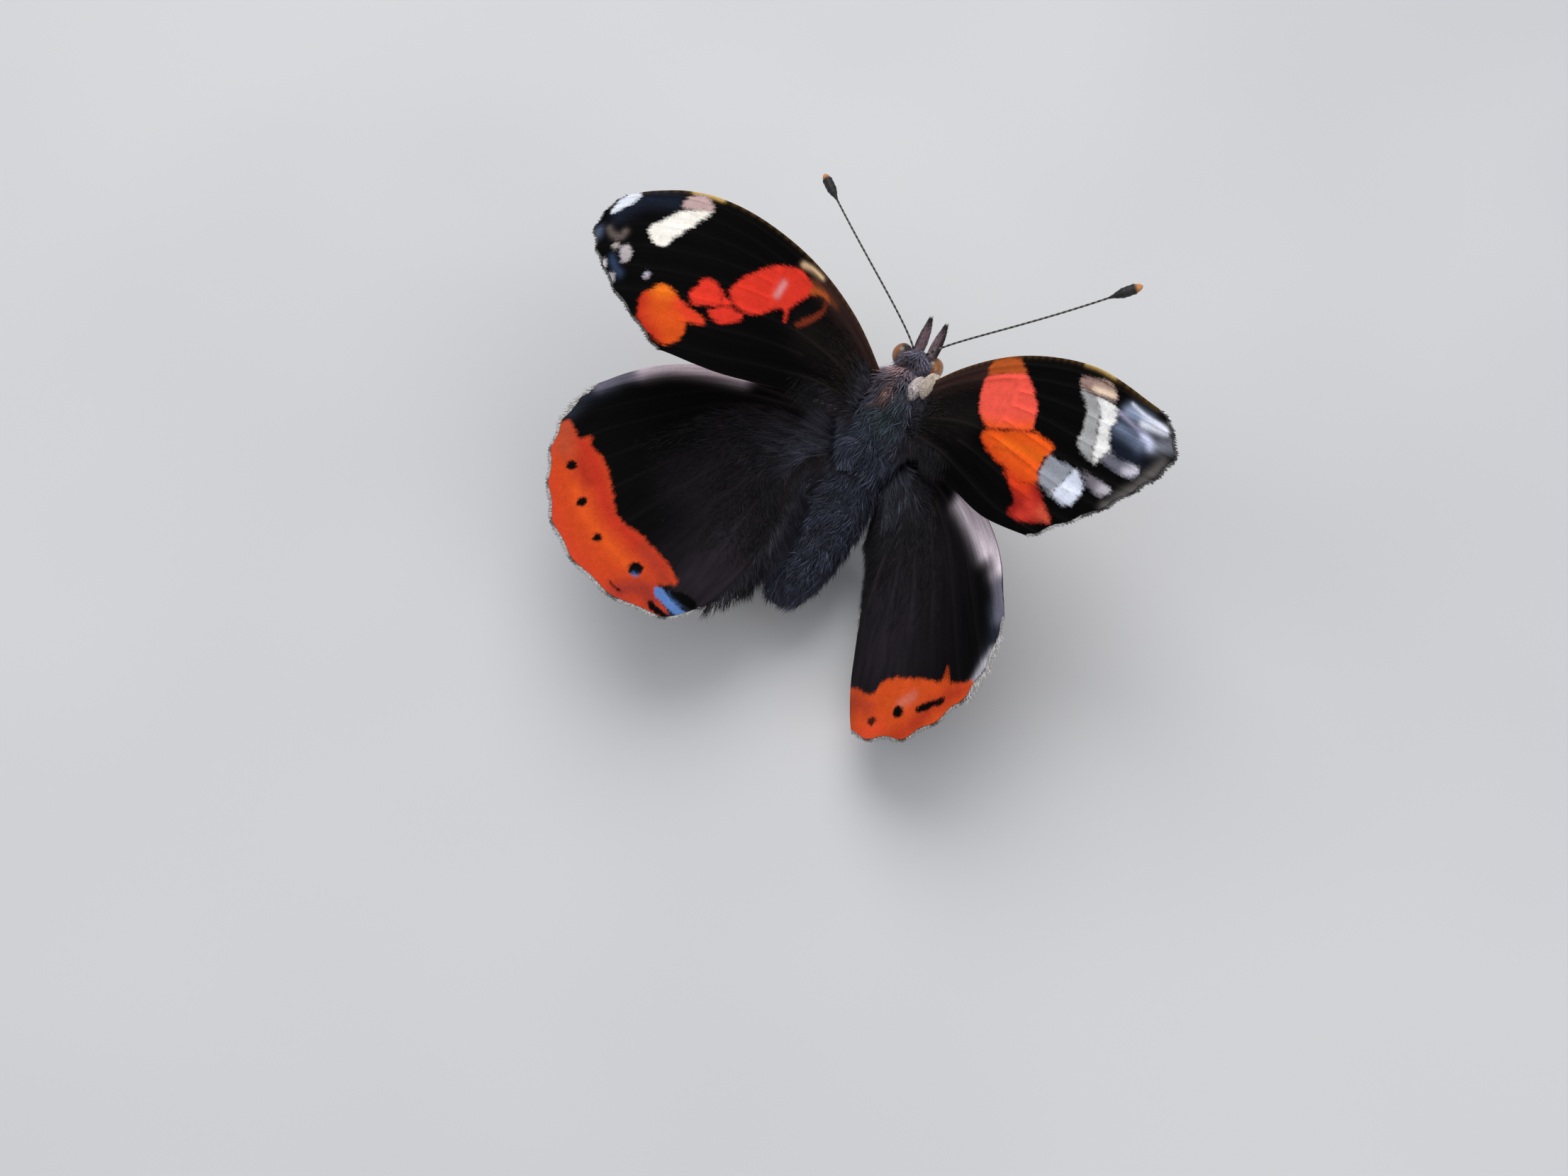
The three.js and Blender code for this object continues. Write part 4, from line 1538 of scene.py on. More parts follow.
@dataclass
class Feeler:
    """A feeler: a thin jointed shaft that leaves the crown and ends in a club with a pale tip.

    The root is given for the left side, and the rise, the other corners of its curve, for its own side.
    """

    side: Side
    rise: tuple[Point, ...]
    root: Point = (0.45, -6.9, 0.65)
    shaft: float = 0.085
    club: float = 0.44
    club_length: float = 3.0
    joints: int = 38

    def build(self, finish: Material) -> Object:
        """Models the feeler.

        Args:
            finish: The ringed material.

        Returns:
            The feeler.
        """
        path = bezier([self.side.of(self.root), *self.rise], np.linspace(0.02, 1, 160))
        run = run_along(path)
        even = np.linspace(0, run[-1], len(path))
        path = np.column_stack([np.interp(even, run, path[:, i]) for i in range(3)])
        from_tip = run[-1] - even
        joint = np.abs(np.sin(np.pi * even / run[-1] * self.joints)) ** 0.6
        swell = smooth(0, 1.5, self.club_length - from_tip)
        radii = (self.shaft + (self.club - self.shaft) * swell) * (0.9 + 0.12 * joint)
        radii *= np.sqrt(np.clip(from_tip / 0.7, 0.01, 1))
        radii *= 1 + 0.5 * smooth(0.6, 0, even)
        shape, along = sweep(STANCE.from_body(path), radii, 12, 320)
        name = f"antenna_{self.side.word}"
        piece = place(shape, name, finish, [name])
        left = (1 - along) * run[-1]
        rings = 0.5 + 0.5 * np.cos(2 * np.pi * along * self.joints)
        keep(piece.data, "Pale", rings * smooth(2.4, 3.4, left) * 0.95)
        keep(piece.data, "Tip", smooth(0.75, 0.35, left))
        return piece


@dataclass
class Brush:
    """A small hairy limb: a curve given for the left side along the thorax, and the radii along it."""

    side: Side
    corners: tuple[Point, ...]
    radii: Point

    def path(self) -> Array:
        """Gives its line, in the frame of the solids."""
        return STANCE.from_body(bezier(self.side.of(self.corners), np.linspace(0, 1, 40)))

    def girth(self, share: float) -> Array:
        """Gives a share of the radius at each point of the line."""
        return catmull(np.array(self.radii)[:, None], np.linspace(0, len(self.radii) - 1, 40))[:, 0] * share


@dataclass
class Palp(Brush):
    """A palp that reaches forwards and up beside the face."""

    corners: tuple[Point, ...] = ((0.6, -6.7, -1.2), (0.66, -8.8, -1.0), (0.74, -10.3, 0.05))
    radii: Point = (0.4, 0.52, 0.54, 0.48, 0.36, 0.21, 0.03)
    grey: Colour = (0.18, 0.12, 0.135)
    black: Colour = (0.01, 0.008, 0.009)

    def build(self, finish: Material) -> Object:
        """Models the palp.

        Args:
            finish: The hairy material.

        Returns:
            The palp.
        """
        shape, along = sweep(self.path(), np.array(self.radii) * 0.82, 16, 40, flat=1.15)
        name = f"palp_{self.side.word}"
        piece = place(shape, name, finish, [name])
        paint(piece.data, "Tint", self.tone(along, np.zeros(len(along))))
        hair = clothe(self.path(), self.girth(0.8), 0.055, 0.5, 9, [(1, 1, 1)], 21, (0.0, 0.93), 1.15)
        outer = -np.cos(hair.patch[:, 0] * 2 * math.pi) * self.side.value
        hair.tint = hair.tint * self.tone(hair.patch[:, 1], smooth(0.1, 0.9, outer))
        hair.build(f"{name}_hair", finish, Slot.HAIR)
        return piece

    def tone(self, along: Array, outer: Array) -> Array:
        """Gives its colour: purplish grey that darkens to a black outer edge and tip."""
        return blend(self.grey, self.black, np.maximum(smooth(0.5, 0.92, along), outer * 0.85))


@dataclass
class Foreleg(Brush):
    """One of the front pair, a small brush folded against the breast."""

    corners: tuple[Point, ...] = ((0.9, -2.8, -1.6), (1.3, -4.8, -3.3), (0.7, -7.3, -2.75))
    radii: Point = (0.2, 0.3, 0.34, 0.33, 0.3, 0.25, 0.05)
    skin: Colour = (0.09, 0.065, 0.045)
    hues: tuple[Colour, ...] = ((0.11, 0.078, 0.05), (0.06, 0.042, 0.03), (0.2, 0.16, 0.12))

    def build(self, finish: Material) -> Object:
        """Models the brush.

        Args:
            finish: The hairy material.

        Returns:
            The foreleg.
        """
        shape, _ = sweep(self.path(), np.array(self.radii) * 0.8, 14, 40)
        name = f"foreleg_{self.side.word}"
        piece = place(shape, name, finish, [name])
        paint(piece.data, "Tint", self.skin)
        clothe(self.path(), self.girth(0.78), 0.085, 0.6, 20, self.hues, 22).build(f"{name}_hair", finish, Slot.HAIR)
        return piece


@dataclass
class Leg:
    """A walking leg: thigh, shin and a foot that lies on the ground. Its places are given for the left side."""

    name: str
    side: Side
    root: Point
    knee: Point
    ankle: Point
    toe: Point
    sole: float = 0.17
    profiles: tuple[Point, ...] = (
        (0.3, 0.4, 0.36, 0.24, 0.15), (0.15, 0.21, 0.21, 0.2, 0.14), (0.13, 0.15, 0.16, 0.16, 0.13))
    hues: tuple[Colour, ...] = ((0.12, 0.085, 0.055), (0.05, 0.034, 0.024), (0.24, 0.18, 0.13))
    spine_hue: Colour = (0.035, 0.022, 0.015)

    def path(self) -> tuple[Array, Array]:
        """Lays out the leg.

        Returns:
            Points along it in the frame of the solids, and the radius at each.
        """
        root = STANCE.from_body(self.side.of(self.root))
        knee, ankle, toe = STANCE.on_ground(self.side.of((self.knee, self.ankle, (*self.toe, self.sole))))
        heel = ankle + (toe - ankle) * 0.34
        heel[2] = self.sole
        stops = (root, knee, ankle, heel, toe)
        points, radii = [], []
        for a, b, profile in zip(stops[:3], stops[1:4], self.profiles):
            share = np.linspace(0, 1, 12, endpoint=False)
            points.append(a + (b - a) * share[:, None])
            radii.append(np.interp(share, np.linspace(0, 1, len(profile)), profile))
        share = np.linspace(0, 1, 40)
        points.append(heel + (toe - heel) * share[:, None])
        radii.append(0.11 + 0.05 * np.abs(np.sin(np.pi * share * 4)) ** 0.5)
        line, size = np.concatenate(points), np.concatenate(radii)
        size[-3:] *= (0.9, 0.6, 0.1)
        return line, size

    def build(self, finish: Material, fur: Material) -> Object:
        """Models the leg in one piece.

        Args:
            finish: The ringed material.
            fur: The hairy material.

        Returns:
            The leg.
        """
        path, radii = self.path()
        shape, along = sweep(path, radii, 12, 150)
        for vertex in shape.verts:
            vertex.co.z = max(vertex.co.z, 0.0)
        names = [f"{self.name}_{part}_{self.side.word}" for part in ("femur", "tibia", "tarsus")]
        name = f"{self.name}_{self.side.word}"
        piece = place(shape, name, finish, names)
        keep(piece.data, "Pale", 0.3 + 0.35 * np.sin(along * 40) * smooth(0.3, 0.6, along))
        keep(piece.data, "Tip", np.zeros(len(along)))
        self.cover(name, path, radii, fur)
        return piece

    def cover(self, name: str, path: Array, radii: Array, fur: Material) -> None:
        """Covers the leg with hair on the thigh, close scales lower down, and spines.

        Args:
            name: Name of the leg.
            path: Points along it.
            radii: Radius at each of them.
            fur: The hairy material.
        """
        thigh = clothe(path, radii, 0.1, 0.5, 22, self.hues, 31, (0.0, 0.36))
        scales = clothe(path, radii, 0.075, 0.2, 8, self.hues, 32, (0.34, 0.98))
        spines = clothe(path, radii, 0.26, 0.34, 42, (self.spine_hue,), 33, (0.4, 0.97))
        for part, tufts in (("hair", thigh), ("scales", scales), ("spines", spines)):
            lowest = tufts.spots(tuft()[0])[:, :, 2].min(axis=1)
            tufts.only(lowest > 0.01).build(f"{name}_{part}", fur, Slot.LEG)


@dataclass
class Pad:
    """A rounded pad of pale scales behind the head. Its middle is given along the thorax."""

    name: str
    middle: Point
    half: Point
    heading: float
    hue: Colour
    scales: int = 900

    def build(self, finish: Material) -> None:
        """Models the pad and its short coat.

        Args:
            finish: The hairy material.
        """
        shape = bmesh.new()
        bmesh.ops.create_uvsphere(shape, u_segments=28, v_segments=18, radius=1)
        ball = np.array([v.co[:] for v in shape.verts])
        put(shape.verts, self.bend(ball * 0.93))
        bmesh.ops.recalc_face_normals(shape, faces=shape.faces)
        paint(place(shape, self.name, finish).data, "Tint", self.hue)
        random = np.random.default_rng(41)
        count = self.scales
        high = 1 - 2 * (np.arange(count) + 0.5) / count
        turned = np.arange(count) * math.pi * (3 - math.sqrt(5))
        level = np.sqrt(1 - high * high)
        spots = np.column_stack([level * np.cos(turned), high, level * np.sin(turned)])
        here = self.bend(spots * 0.95)
        normal = unit(self.bend(spots * 0.95 + spots / np.array(self.half) ** 2 * 0.1) - here)
        lay = np.tile(self.bend(np.array([[0.0, 1.0, 0.0]])) - self.bend(np.zeros((1, 3))), (count, 1))
        tint = np.array(self.hue) * random.uniform(0.8, 1.15, (count, 1))
        patch = np.column_stack([turned / (2 * math.pi) % 1, high / 2 + 0.5])
        coat = Tufts(here, normal, lay, random.uniform(0.16, 0.28, count), random.uniform(0.1, 0.14, count),
                     random.uniform(0.1, 0.2, count), tint, patch, random.normal(0, 0.1, count), tip=1.05)
        coat.build(f"{self.name}_hair", finish, Slot.HAIR)

    def bend(self, ball: Array) -> Array:
        """Moves points of a unit ball onto the pad."""
        return STANCE.from_body(turn(ball * self.half, "Z", self.heading) + self.middle)


# Colours of the wings

BLACK = (0.0016, 0.0014, 0.0015)
RED = (0.8, 0.042, 0.022)
ORANGE = (0.7, 0.085, 0.011)
SUNLIT_RED = (1, 0.115, 0.075)
SUNLIT_ORANGE = (0.93, 0.11, 0.012)
DEEP_RED = (0.34, 0.016, 0.012)
BAND = (0.66, 0.078, 0.014)
RUST = (0.5, 0.1, 0.02)
CREAM = (0.96, 0.91, 0.82)
ROSE = (0.55, 0.38, 0.37)
WHITE = (0.82, 0.85, 0.93)
# dark blue painted sheen on the black towards the forewing tips
NAVY_SHEEN = (0.011, 0.015, 0.028)
BLUE = (0.1, 0.21, 0.48)
# the pale costal band of the hindwings, made brighter as a painted sunlit sheen
PALE_LILAC_AND_SHEEN = (0.9, 0.78, 0.86)
GOLD = (0.22, 0.12, 0.035)
BRIGHT_GOLD = (0.75, 0.48, 0.15)

FORE_PLAN = WingPlan(
    hinge=(1.5, -2, 1), cell=(2, 6),
    veins=(None, 0, 0, 0.5, 0.5, 0.5, 0, 0.36, 0, None),
    lines=(
        ((-1.2, -1.1), (6.6, -2.9), (14.2, -3.1), (22, -1.4), (28.2, 2)),
        ((-1.2, -0.8), (6.6, -2.2), (14.2, -2.3), (22.2, -0.5), (28.9, 2.7)),
        ((-1.2, -0.5), (6.8, -1.5), (14.2, -1.2), (22.3, 0.7), (29.5, 3.9)),
        ((-1.2, -0.2), (6.8, -0.8), (14, -0.2), (22, 2.2), (29.7, 5.5)),
        ((-1.2, 0.1), (6.8, 0), (13.7, 0.9), (21.2, 3.8), (28.3, 6.9)),
        ((-1.2, 0.4), (6.7, 0.8), (13.1, 2), (20, 5.2), (26.6, 7.9)),
        ((-1.2, 0.7), (6.4, 1.5), (12.2, 3.2), (18.4, 6.4), (24.3, 9.1)),
        ((-1.2, 1), (5.9, 2.5), (10.9, 4.6), (16.5, 7.7), (21.6, 10.1)),
        ((-1.2, 1.3), (5.4, 3.7), (9.8, 6.2), (14.4, 9), (18.9, 11)),
        ((-1.2, 1.7), (5, 4.9), (9.1, 7.4), (13.4, 9.8), (17.9, 11.2))))

HIND_PLAN = WingPlan(
    hinge=(4.5, 2.5, 0.8),
    veins=(None, 0, 0, 0.3, 0.3, 0.3, 0, 0.2, 0, 0, None),
    lines=(
        ((-2.8, -1.3), (3.4, -2.5), (9, -2.5), (14.4, -1), (18.8, 1.9)),
        ((-2.8, -0.9), (3.6, -1.6), (9.2, -1.3), (14.6, 0.5), (19.9, 3.6)),
        ((-2.8, -0.6), (3.8, -0.9), (9.4, 0), (15.1, 2.6), (20.9, 6)),
        ((-2.8, -0.3), (3.8, -0.2), (9.5, 1.5), (15.3, 4.8), (21.2, 8.7)),
        ((-2.8, 0), (3.8, 0.6), (9.4, 3.2), (15, 7.3), (20.7, 11.7)),
        ((-2.8, 0.3), (3.5, 1.6), (8.8, 5), (14.1, 9.7), (19.6, 14.9)),
        ((-2.8, 0.6), (3, 2.6), (7.7, 6.6), (12.4, 12), (17.3, 17.7)),
        ((-2.8, 0.9), (2.4, 3.6), (6.2, 8.4), (9.9, 14.2), (13.6, 20)),
        ((-2.8, 1.2), (1.6, 4.4), (4.3, 9.6), (6.7, 15.1), (9.3, 20.6)),
        ((-2.8, 1.6), (1.1, 4.9), (2.3, 10), (4, 15), (6.4, 18.9)),
        ((-2.8, 2.1), (0.9, 5.1), (1.2, 9.3), (1.7, 12.6), (2.8, 15.6))))

FORE_LEFT_MARKS = (
    Patch(((14.5, -0.6), (13.6, -1.3), (12.7, -1.8), (11.8, -1.7), (11.1, -1.5), (11, -0.7), (11.4, 0.5),
           (11.6, 1.4), (11.3, 2.6), (11.9, 1.9), (12.4, 2), (12.9, 2.8), (13.4, 3.7), (14.2, 4.4), (15.1, 4.6),
           (16.4, 4), (16.2, 2.4), (15.1, 0.2)), RED),
    Patch(((18.5, 4.5), (17.8, 4.2), (16.2, 4.6), (15.6, 4.8), (16, 5.3), (16.9, 6), (18.1, 6.7), (18.8, 6.1),
           (18.6, 5.2)), RED),
    Patch(((16.5, 5.9), (15.9, 5.3), (15.1, 4.9), (14.5, 4.8), (14.4, 5.4), (15.4, 6.5), (16.7, 6.5)), RED),
    Patch(((21.1, 7), (20.4, 6.7), (18.7, 7.1), (16.7, 7.1), (16.5, 7.7), (17.5, 8.2), (17.2, 9), (17.3, 10),
           (18, 10.7), (19.6, 10.6), (21.1, 10), (21.8, 8.6), (21.5, 7.7)), ORANGE),
    Patch(((23.3, 1.2), (22.1, 0.2), (21.3, -0.2), (21.6, 1), (22, 2.1), (22.5, 3.4), (22.8, 4.3), (24, 4.3),
           (24.7, 3.6), (24.1, 2.5)), CREAM),
    Patch(((23.4, 0.8), (23.5, 0), (22.6, -1), (21.6, -0.8), (21.3, -0.3), (22.1, 0.2)), ROSE),
    # the white spot near the tip, brightened and tinted blue as a painted reflection where the tip curls
    Patch(((28, 1.7), (27.3, 1.5), (27, 1.8), (27.7, 3), (28.7, 3.9), (28.9, 3.2), (28.5, 2.3)), WHITE),
    Patch(((25.6, 5.6), (25.9, 6.1), (25.3, 6.9), (24.7, 6.7), (24.7, 6.1), (25.1, 5.7)), (0.5, 0.44, 0.45)),
    Patch(((11.4, -1.2), (10.9, -1.7), (9.8, -2), (9.1, -1.7), (10.1, -1.5), (11, -0.9)), RUST),
    Patch(((10.5, 1.9), (10.2, 1.3), (9.9, 0.6), (9.5, -0.3), (9.3, -0.9), (9.6, -1.6), (9.2, -1.3), (9, -0.5),
           (9.3, 0.5), (9.7, 1.3), (10.1, 2)), (0.2, 0.03, 0.012)),
    Spot((26.5, 6.1), 0.32, (0.4, 0.35, 0.33)), Spot((26.7, 7.9), 0.42, (0.6, 0.56, 0.58)),
    Spot((25.2, 8.6), 0.5, (0.42, 0.4, 0.42)), Spot((22.5, 6.9), 0.27, (0.5, 0.52, 0.62)))

FORE_LEFT_BLUSH = (
    Streak(((21.9, 8.4), (21.1, 10), (19.1, 10.9)), 1, (0.52, 0.025, 0.012), 0.9),
    Streak(((21, 7.2), (20.3, 7)), 0.8, (0.9, 0.2, 0.012), 0.8),
    Streak(((18.7, 7.3), (16.5, 7.6)), 0.7, RED, 0.8),
    # painted highlight: a pale pink sheen on the red patch
    Streak(((13.3, 0.2), (13.2, 1.4)), 0.3, (0.85, 0.5, 0.5), 0.6),
    Streak(((16.9, 4.6), (16.2, 5.3), (16.6, 5.9)), 0.12, DEEP_RED, 0.8))

FORE_RIGHT_MARKS = (
    Patch(((10.3, -2), (10.6, -3.1), (13.4, -3), (14.6, -1.6), (12.4, -1.8)), RUST),
    Patch(((10.2, -1.8), (12.4, -1.9), (14.6, -1.6), (15.9, -0.2), (16.8, 1.4), (16.8, 3.2), (14.4, 2.95),
           (12.5, 2.8), (11.6, 2.4), (10.7, 1.7), (10, 0.6), (9.8, -0.6)), SUNLIT_RED),
    Patch(((11.3, 3.5), (11.7, 2.85), (14.6, 3.1), (17.2, 3.4), (19, 4.3), (19.5, 4.9), (18.6, 5.6), (18.4, 6.4),
           (18.4, 7.3), (16.4, 7.1), (14.4, 5.8), (12.7, 4.8)), SUNLIT_ORANGE),
    Patch(((14.4, 5.8), (16.7, 7.1), (18.4, 7.4), (19, 8.3), (20.2, 10), (19.2, 10.2), (17.9, 10.2), (16.6, 9.9),
           (15.9, 9.2), (16.5, 8.6), (15.6, 7.2)), DEEP_RED),
    # the white bar, split at a crease: its grey half is painted shade on the side turned from the light, its bright
    # half the bar's own white
    Patch(((21.2, 0.4), (22, 0.6), (23, 1.1), (23.45, 2.1), (23.6, 2.9), (23.45, 3.9), (23.4, 4.8), (23.4, 5.8),
           (22.6, 5.4), (21.9, 4.5), (21.8, 3.9), (22.1, 3), (22.1, 1.9)), (0.44, 0.44, 0.44)),
    Patch(((23, 1.1), (23.9, 1.3), (24.9, 2.1), (24.9, 2.7), (24.6, 3.4), (24.6, 4.7), (24.2, 5.4), (23.5, 5.9),
           (23.5, 4.8), (23.6, 3.9), (23.7, 2.9), (23.5, 2.1)), (0.88, 0.86, 0.84)),
    Patch(((20.8, -0.7), (22.7, -0.3), (24.2, 0.3), (24.6, 1.3), (23.2, 1), (21.3, 0.25)), (0.4, 0.26, 0.22)),
    # the big white spot, split at the same crease: its grey half is painted shade, its bright half the spot's own
    # bluish white
    Patch(((18.6, 6.7), (18.6, 6), (19.3, 5.3), (20.5, 5.8), (21.9, 6.4), (21.3, 6.9), (20.5, 7.7), (20.1, 8.2),
           (19.6, 7.9), (18.8, 7.3)), (0.34, 0.36, 0.41)),
    Patch(((22, 6.4), (22.4, 6.6), (22.6, 7.4), (22.5, 8.1), (22, 8.7), (21.4, 8.9), (20.8, 8.7), (20.3, 8.2),
           (20.6, 7.7), (21.4, 6.9)), (0.78, 0.82, 0.95)),
    Patch(((24.3, 5.7), (24.8, 5.2), (25.5, 5.6), (26.9, 6), (27.1, 6.5), (26.4, 6.9), (25.3, 6.5)),
          (0.15, 0.15, 0.19)),
    Patch(((22.6, 6.7), (23.2, 6.7), (24.2, 7.2), (25, 7.7), (24.5, 8.2), (23.5, 7.9)), (0.19, 0.17, 0.2)))

FORE_RIGHT_BLUSH = (
    Streak(((10.4, 2.2), (12.6, 2.7), (14.6, 2.9), (16.6, 3)), 0.7, SUNLIT_ORANGE, 0.8),
    # painted shadow: a thin dark line along the fold between the red and orange patches
    Streak(((11, 2.9), (12.8, 2.85), (15.2, 3.05), (17, 3.3)), 0.1, (0.4, 0.035, 0.01), 0.7),
    Streak(((18, 8.8), (18.4, 9.5), (17.2, 9.7)), 0.6, (0.85, 0.06, 0.035), 0.7),
    Streak(((19.3, 9.5), (20.1, 10.3)), 0.6, (0.85, 0.12, 0.06), 0.8),
    Streak(((11.2, 4), (13.2, 5.6), (15.4, 6.8), (17.4, 7.6)), 0.7, (0.78, 0.055, 0.012), 0.85),
    Streak(((14, 4), (16.2, 4.6), (18.4, 5.4)), 0.5, (0.9, 0.17, 0.012), 0.6),
    Streak(((13, 4.2), (15, 4.8), (17.6, 6)), 0.14, (0.45, 0.035, 0.01), 0.5),
    Streak(((22.4, 0.35), (24.4, 1)), 0.24, (0.95, 0.74, 0.54), 0.9),
    Streak(((21.3, 0), (23, 0.95), (24.4, 1.35)), 0.1, (0.12, 0.06, 0.045), 0.8),
    # painted glint: a thin white highlight along the crease through the big spot
    Streak(((20.1, 8.2), (20.5, 7.8)), 0.14, (0.95, 0.95, 0.98), 0.9),
    Streak(((26.2, 6.5), (27.1, 6.4)), 0.45, (0.7, 0.66, 0.75), 0.95),
    Streak(((24.3, 7.8), (25.1, 7.8)), 0.5, (0.62, 0.57, 0.62), 0.95))

HIND_LEFT_MARKS = (
    Patch(((20.5, 6), (19.9, 6.4), (19.2, 7.3), (18.3, 7), (18.2, 7.6), (17, 8.6), (16.1, 10), (15.4, 11.7),
           (14.8, 13.2), (13.8, 14), (12.5, 14.5), (10.9, 15.6), (9.4, 16.8), (8.9, 17.8), (10.2, 18.4), (8.8, 21.2),
           (13.2, 20.6), (17.2, 18.6), (20.2, 14.6), (22, 10.2), (21.6, 7.2)), (0.58, 0.058, 0.013)),)

HIND_LEFT_BLUSH = (
    Streak(((19.6, 7.2), (18, 8.6), (16.6, 11), (15.2, 13.4), (13, 15), (10.6, 16.6)), 0.7,
           (0.5, 0.028, 0.014), 0.85),
    Streak(((18.4, 11.8), (16.8, 14.2), (14.2, 16.4), (12.4, 17.4)), 0.6, (0.76, 0.1, 0.014), 0.7),
    Streak(((18.6, 9.4), (17.6, 11)), 0.6, (0.36, 0.02, 0.012), 0.75),
    Streak(((21.5, 8), (20.8, 12), (18.4, 16), (14.5, 19.4), (9.5, 20.8)), 0.7, (0.62, 0.05, 0.02), 0.7),
    Streak(((20.4, 6.6), (20.2, 8.4)), 1, (0.42, 0.07, 0.03), 0.8),
    Streak(((12, 15.6), (10.6, 16.9), (9.6, 17.8)), 0.6, (0.38, 0.04, 0.02), 0.8),
    Streak(((13.2, 19.4), (11.4, 18.9), (10.4, 19.6)), 0.9, (0.3, 0.03, 0.022), 0.85))

HIND_RIGHT_MARKS = (
    Patch(((20.9, 7), (19.9, 8), (19.2, 8.5), (18.1, 7.8), (18.6, 8.9), (16.9, 10.1), (15.4, 11.3),
           (14.2, 12.5), (14.3, 14), (13.6, 14.4), (11.8, 15.1), (9.8, 16.6), (8.9, 18), (8.8, 21.2), (13.2, 20.6),
           (17.2, 18.6), (20.2, 14.6), (22, 10.2), (21.8, 8)), BAND),)

HIND_RIGHT_BLUSH = (
    Streak(((14.8, 15), (13.2, 15.6), (11, 17.4)), 0.8, (0.42, 0.045, 0.02), 0.8),
    Streak(((16.7, 15.3), (15.4, 17.4), (13, 19)), 0.8, (0.76, 0.07, 0.025), 0.8),
    Streak(((17.4, 11.4), (17, 12.6)), 0.4, (0.6, 0.2, 0.15), 0.6),
    Streak(((20.4, 8.2), (19.4, 10.8), (19, 13.4), (17.9, 16.6)), 0.8, (0.42, 0.036, 0.014), 0.8))

HIND_LEFT_DOTS = (
    Spot((19.2, 9.8), 0.45, BLACK), Spot((17.7, 12.8), 0.45, BLACK), Spot((15.8, 15.5), 0.42, BLACK),
    Spot((12.3, 17.4), 0.62, BLACK), Spot((12.2, 17.95), 0.22, BLUE),
    Patch(((14.2, 18.7), (13.6, 19.1), (12.9, 19.5), (13.5, 19.5)), BLACK),
    Patch(((7, 18.7), (8.4, 18.3), (9.3, 18.5), (9, 18.9), (8.2, 19.3), (7, 19.4)), BLACK),
    Patch(((10.5, 18.4), (9.8, 18.5), (8.9, 19.1), (8.1, 19.6), (7.2, 19.8), (7.5, 20.3), (8.6, 20.1), (9.6, 19.6),
           (10.3, 19.2)), BLUE),
    Patch(((10.6, 19.6), (9.6, 20.1), (8.5, 20.6), (9.4, 20.7), (10.6, 20.2)), BLACK))

HIND_RIGHT_DOTS = (
    Spot((17.3, 13.2), 0.5, BLACK), Spot((15.8, 15.4), 0.4, (0.06, 0.01, 0.006)),
    Patch(((18.2, 12), (18.7, 11.1), (19.6, 9.7), (19.9, 10.1), (19.2, 11.4), (18.7, 12.1)), BLACK))

INNER_BROWN = (0.021, 0.0165, 0.0215)

HIND_STREAKS = (
    Streak(((3.5, 7), (4.5, 12), (6.5, 17)), 3.4, INNER_BROWN, 0.95),
    Streak(((3, 1.5), (7, 5), (9.5, 9)), 2.4, INNER_BROWN, 0.45),
    # painted sheen: dark blue-grey and grey-lilac streaks along the costa towards the tip
    Streak(((17.8, 1.9), (19.6, 3.4), (20.6, 5.4)), 0.7, (0.02, 0.024, 0.036), 0.8),
    Streak(((15.8, 0.3), (17.4, 1.2), (18.8, 2.3)), 0.5, (0.2, 0.19, 0.25), 0.8),
    # pale costal band, brightened with painted sunlit sheen
    Streak(((7.5, -2.2), (10.4, -2), (13.4, -1.4), (15.6, -0.4)), 0.75, PALE_LILAC_AND_SHEEN, 0.97))

HIND_RIGHT_STREAKS = HIND_STREAKS + (
    Streak(((8, 6), (12, 11)), 5, (0.019, 0.015, 0.02), 0.85),
    Streak(((20.3, 4.4), (20.7, 6), (21, 7.6)), 0.34, (0.5, 0.48, 0.53), 0.85),
    # pale costal band, brightened with painted sunlit sheen
    Streak(((7.6, -1.5), (10.6, -1.1), (13.4, -0.4)), 0.75, PALE_LILAC_AND_SHEEN, 0.95))

FORE_STREAKS = (
    Streak(((0, -1.4), (6.6, -3), (14.2, -3.3), (22, -1.6), (28.2, 1.8)), 0.3, GOLD, 0.85),
    Streak(((1, 0.2), (6, 1), (9, 1.6)), 1.8, (0.0095, 0.007, 0.0068), 0.9),
    Streak(((2, -1.4), (6, -2), (10.5, -2.2)), 0.9, (0.055, 0.024, 0.02), 0.8))

FORE_LEFT_STREAKS = FORE_STREAKS + (
    Streak(((12.9, -2.3), (12, -2.6), (11, -2.7)), 0.25, (0.9, 0.6, 0.34), 0.95),
    Streak(((11.4, -1.7), (10.2, -2), (8.6, -2)), 0.4, (0.16, 0.045, 0.02), 0.8),
    Streak(((28.1, 5.1), (27.4, 5.4), (26.6, 5.3), (26.4, 4.8)), 0.3, (0.16, 0.125, 0.115), 0.8),
    # painted sheen: blue reflections on the black near the tip and along the outer margin
    Streak(((29.4, 6.3), (29, 5.7)), 0.5, (0.12, 0.16, 0.26), 0.7),
    Streak(((26.2, 7.1), (25.4, 7.6), (24.6, 7.9)), 0.35, (0.035, 0.06, 0.12), 0.8),
    Streak(((28, 3.9), (26.7, 2.1), (25.5, 1.3), (24.2, 0.7)), 0.8, NAVY_SHEEN, 0.9),
    Streak(((21.2, -1.6), (22.4, -1.2), (23.4, -0.8)), 0.2, BRIGHT_GOLD, 0.9))

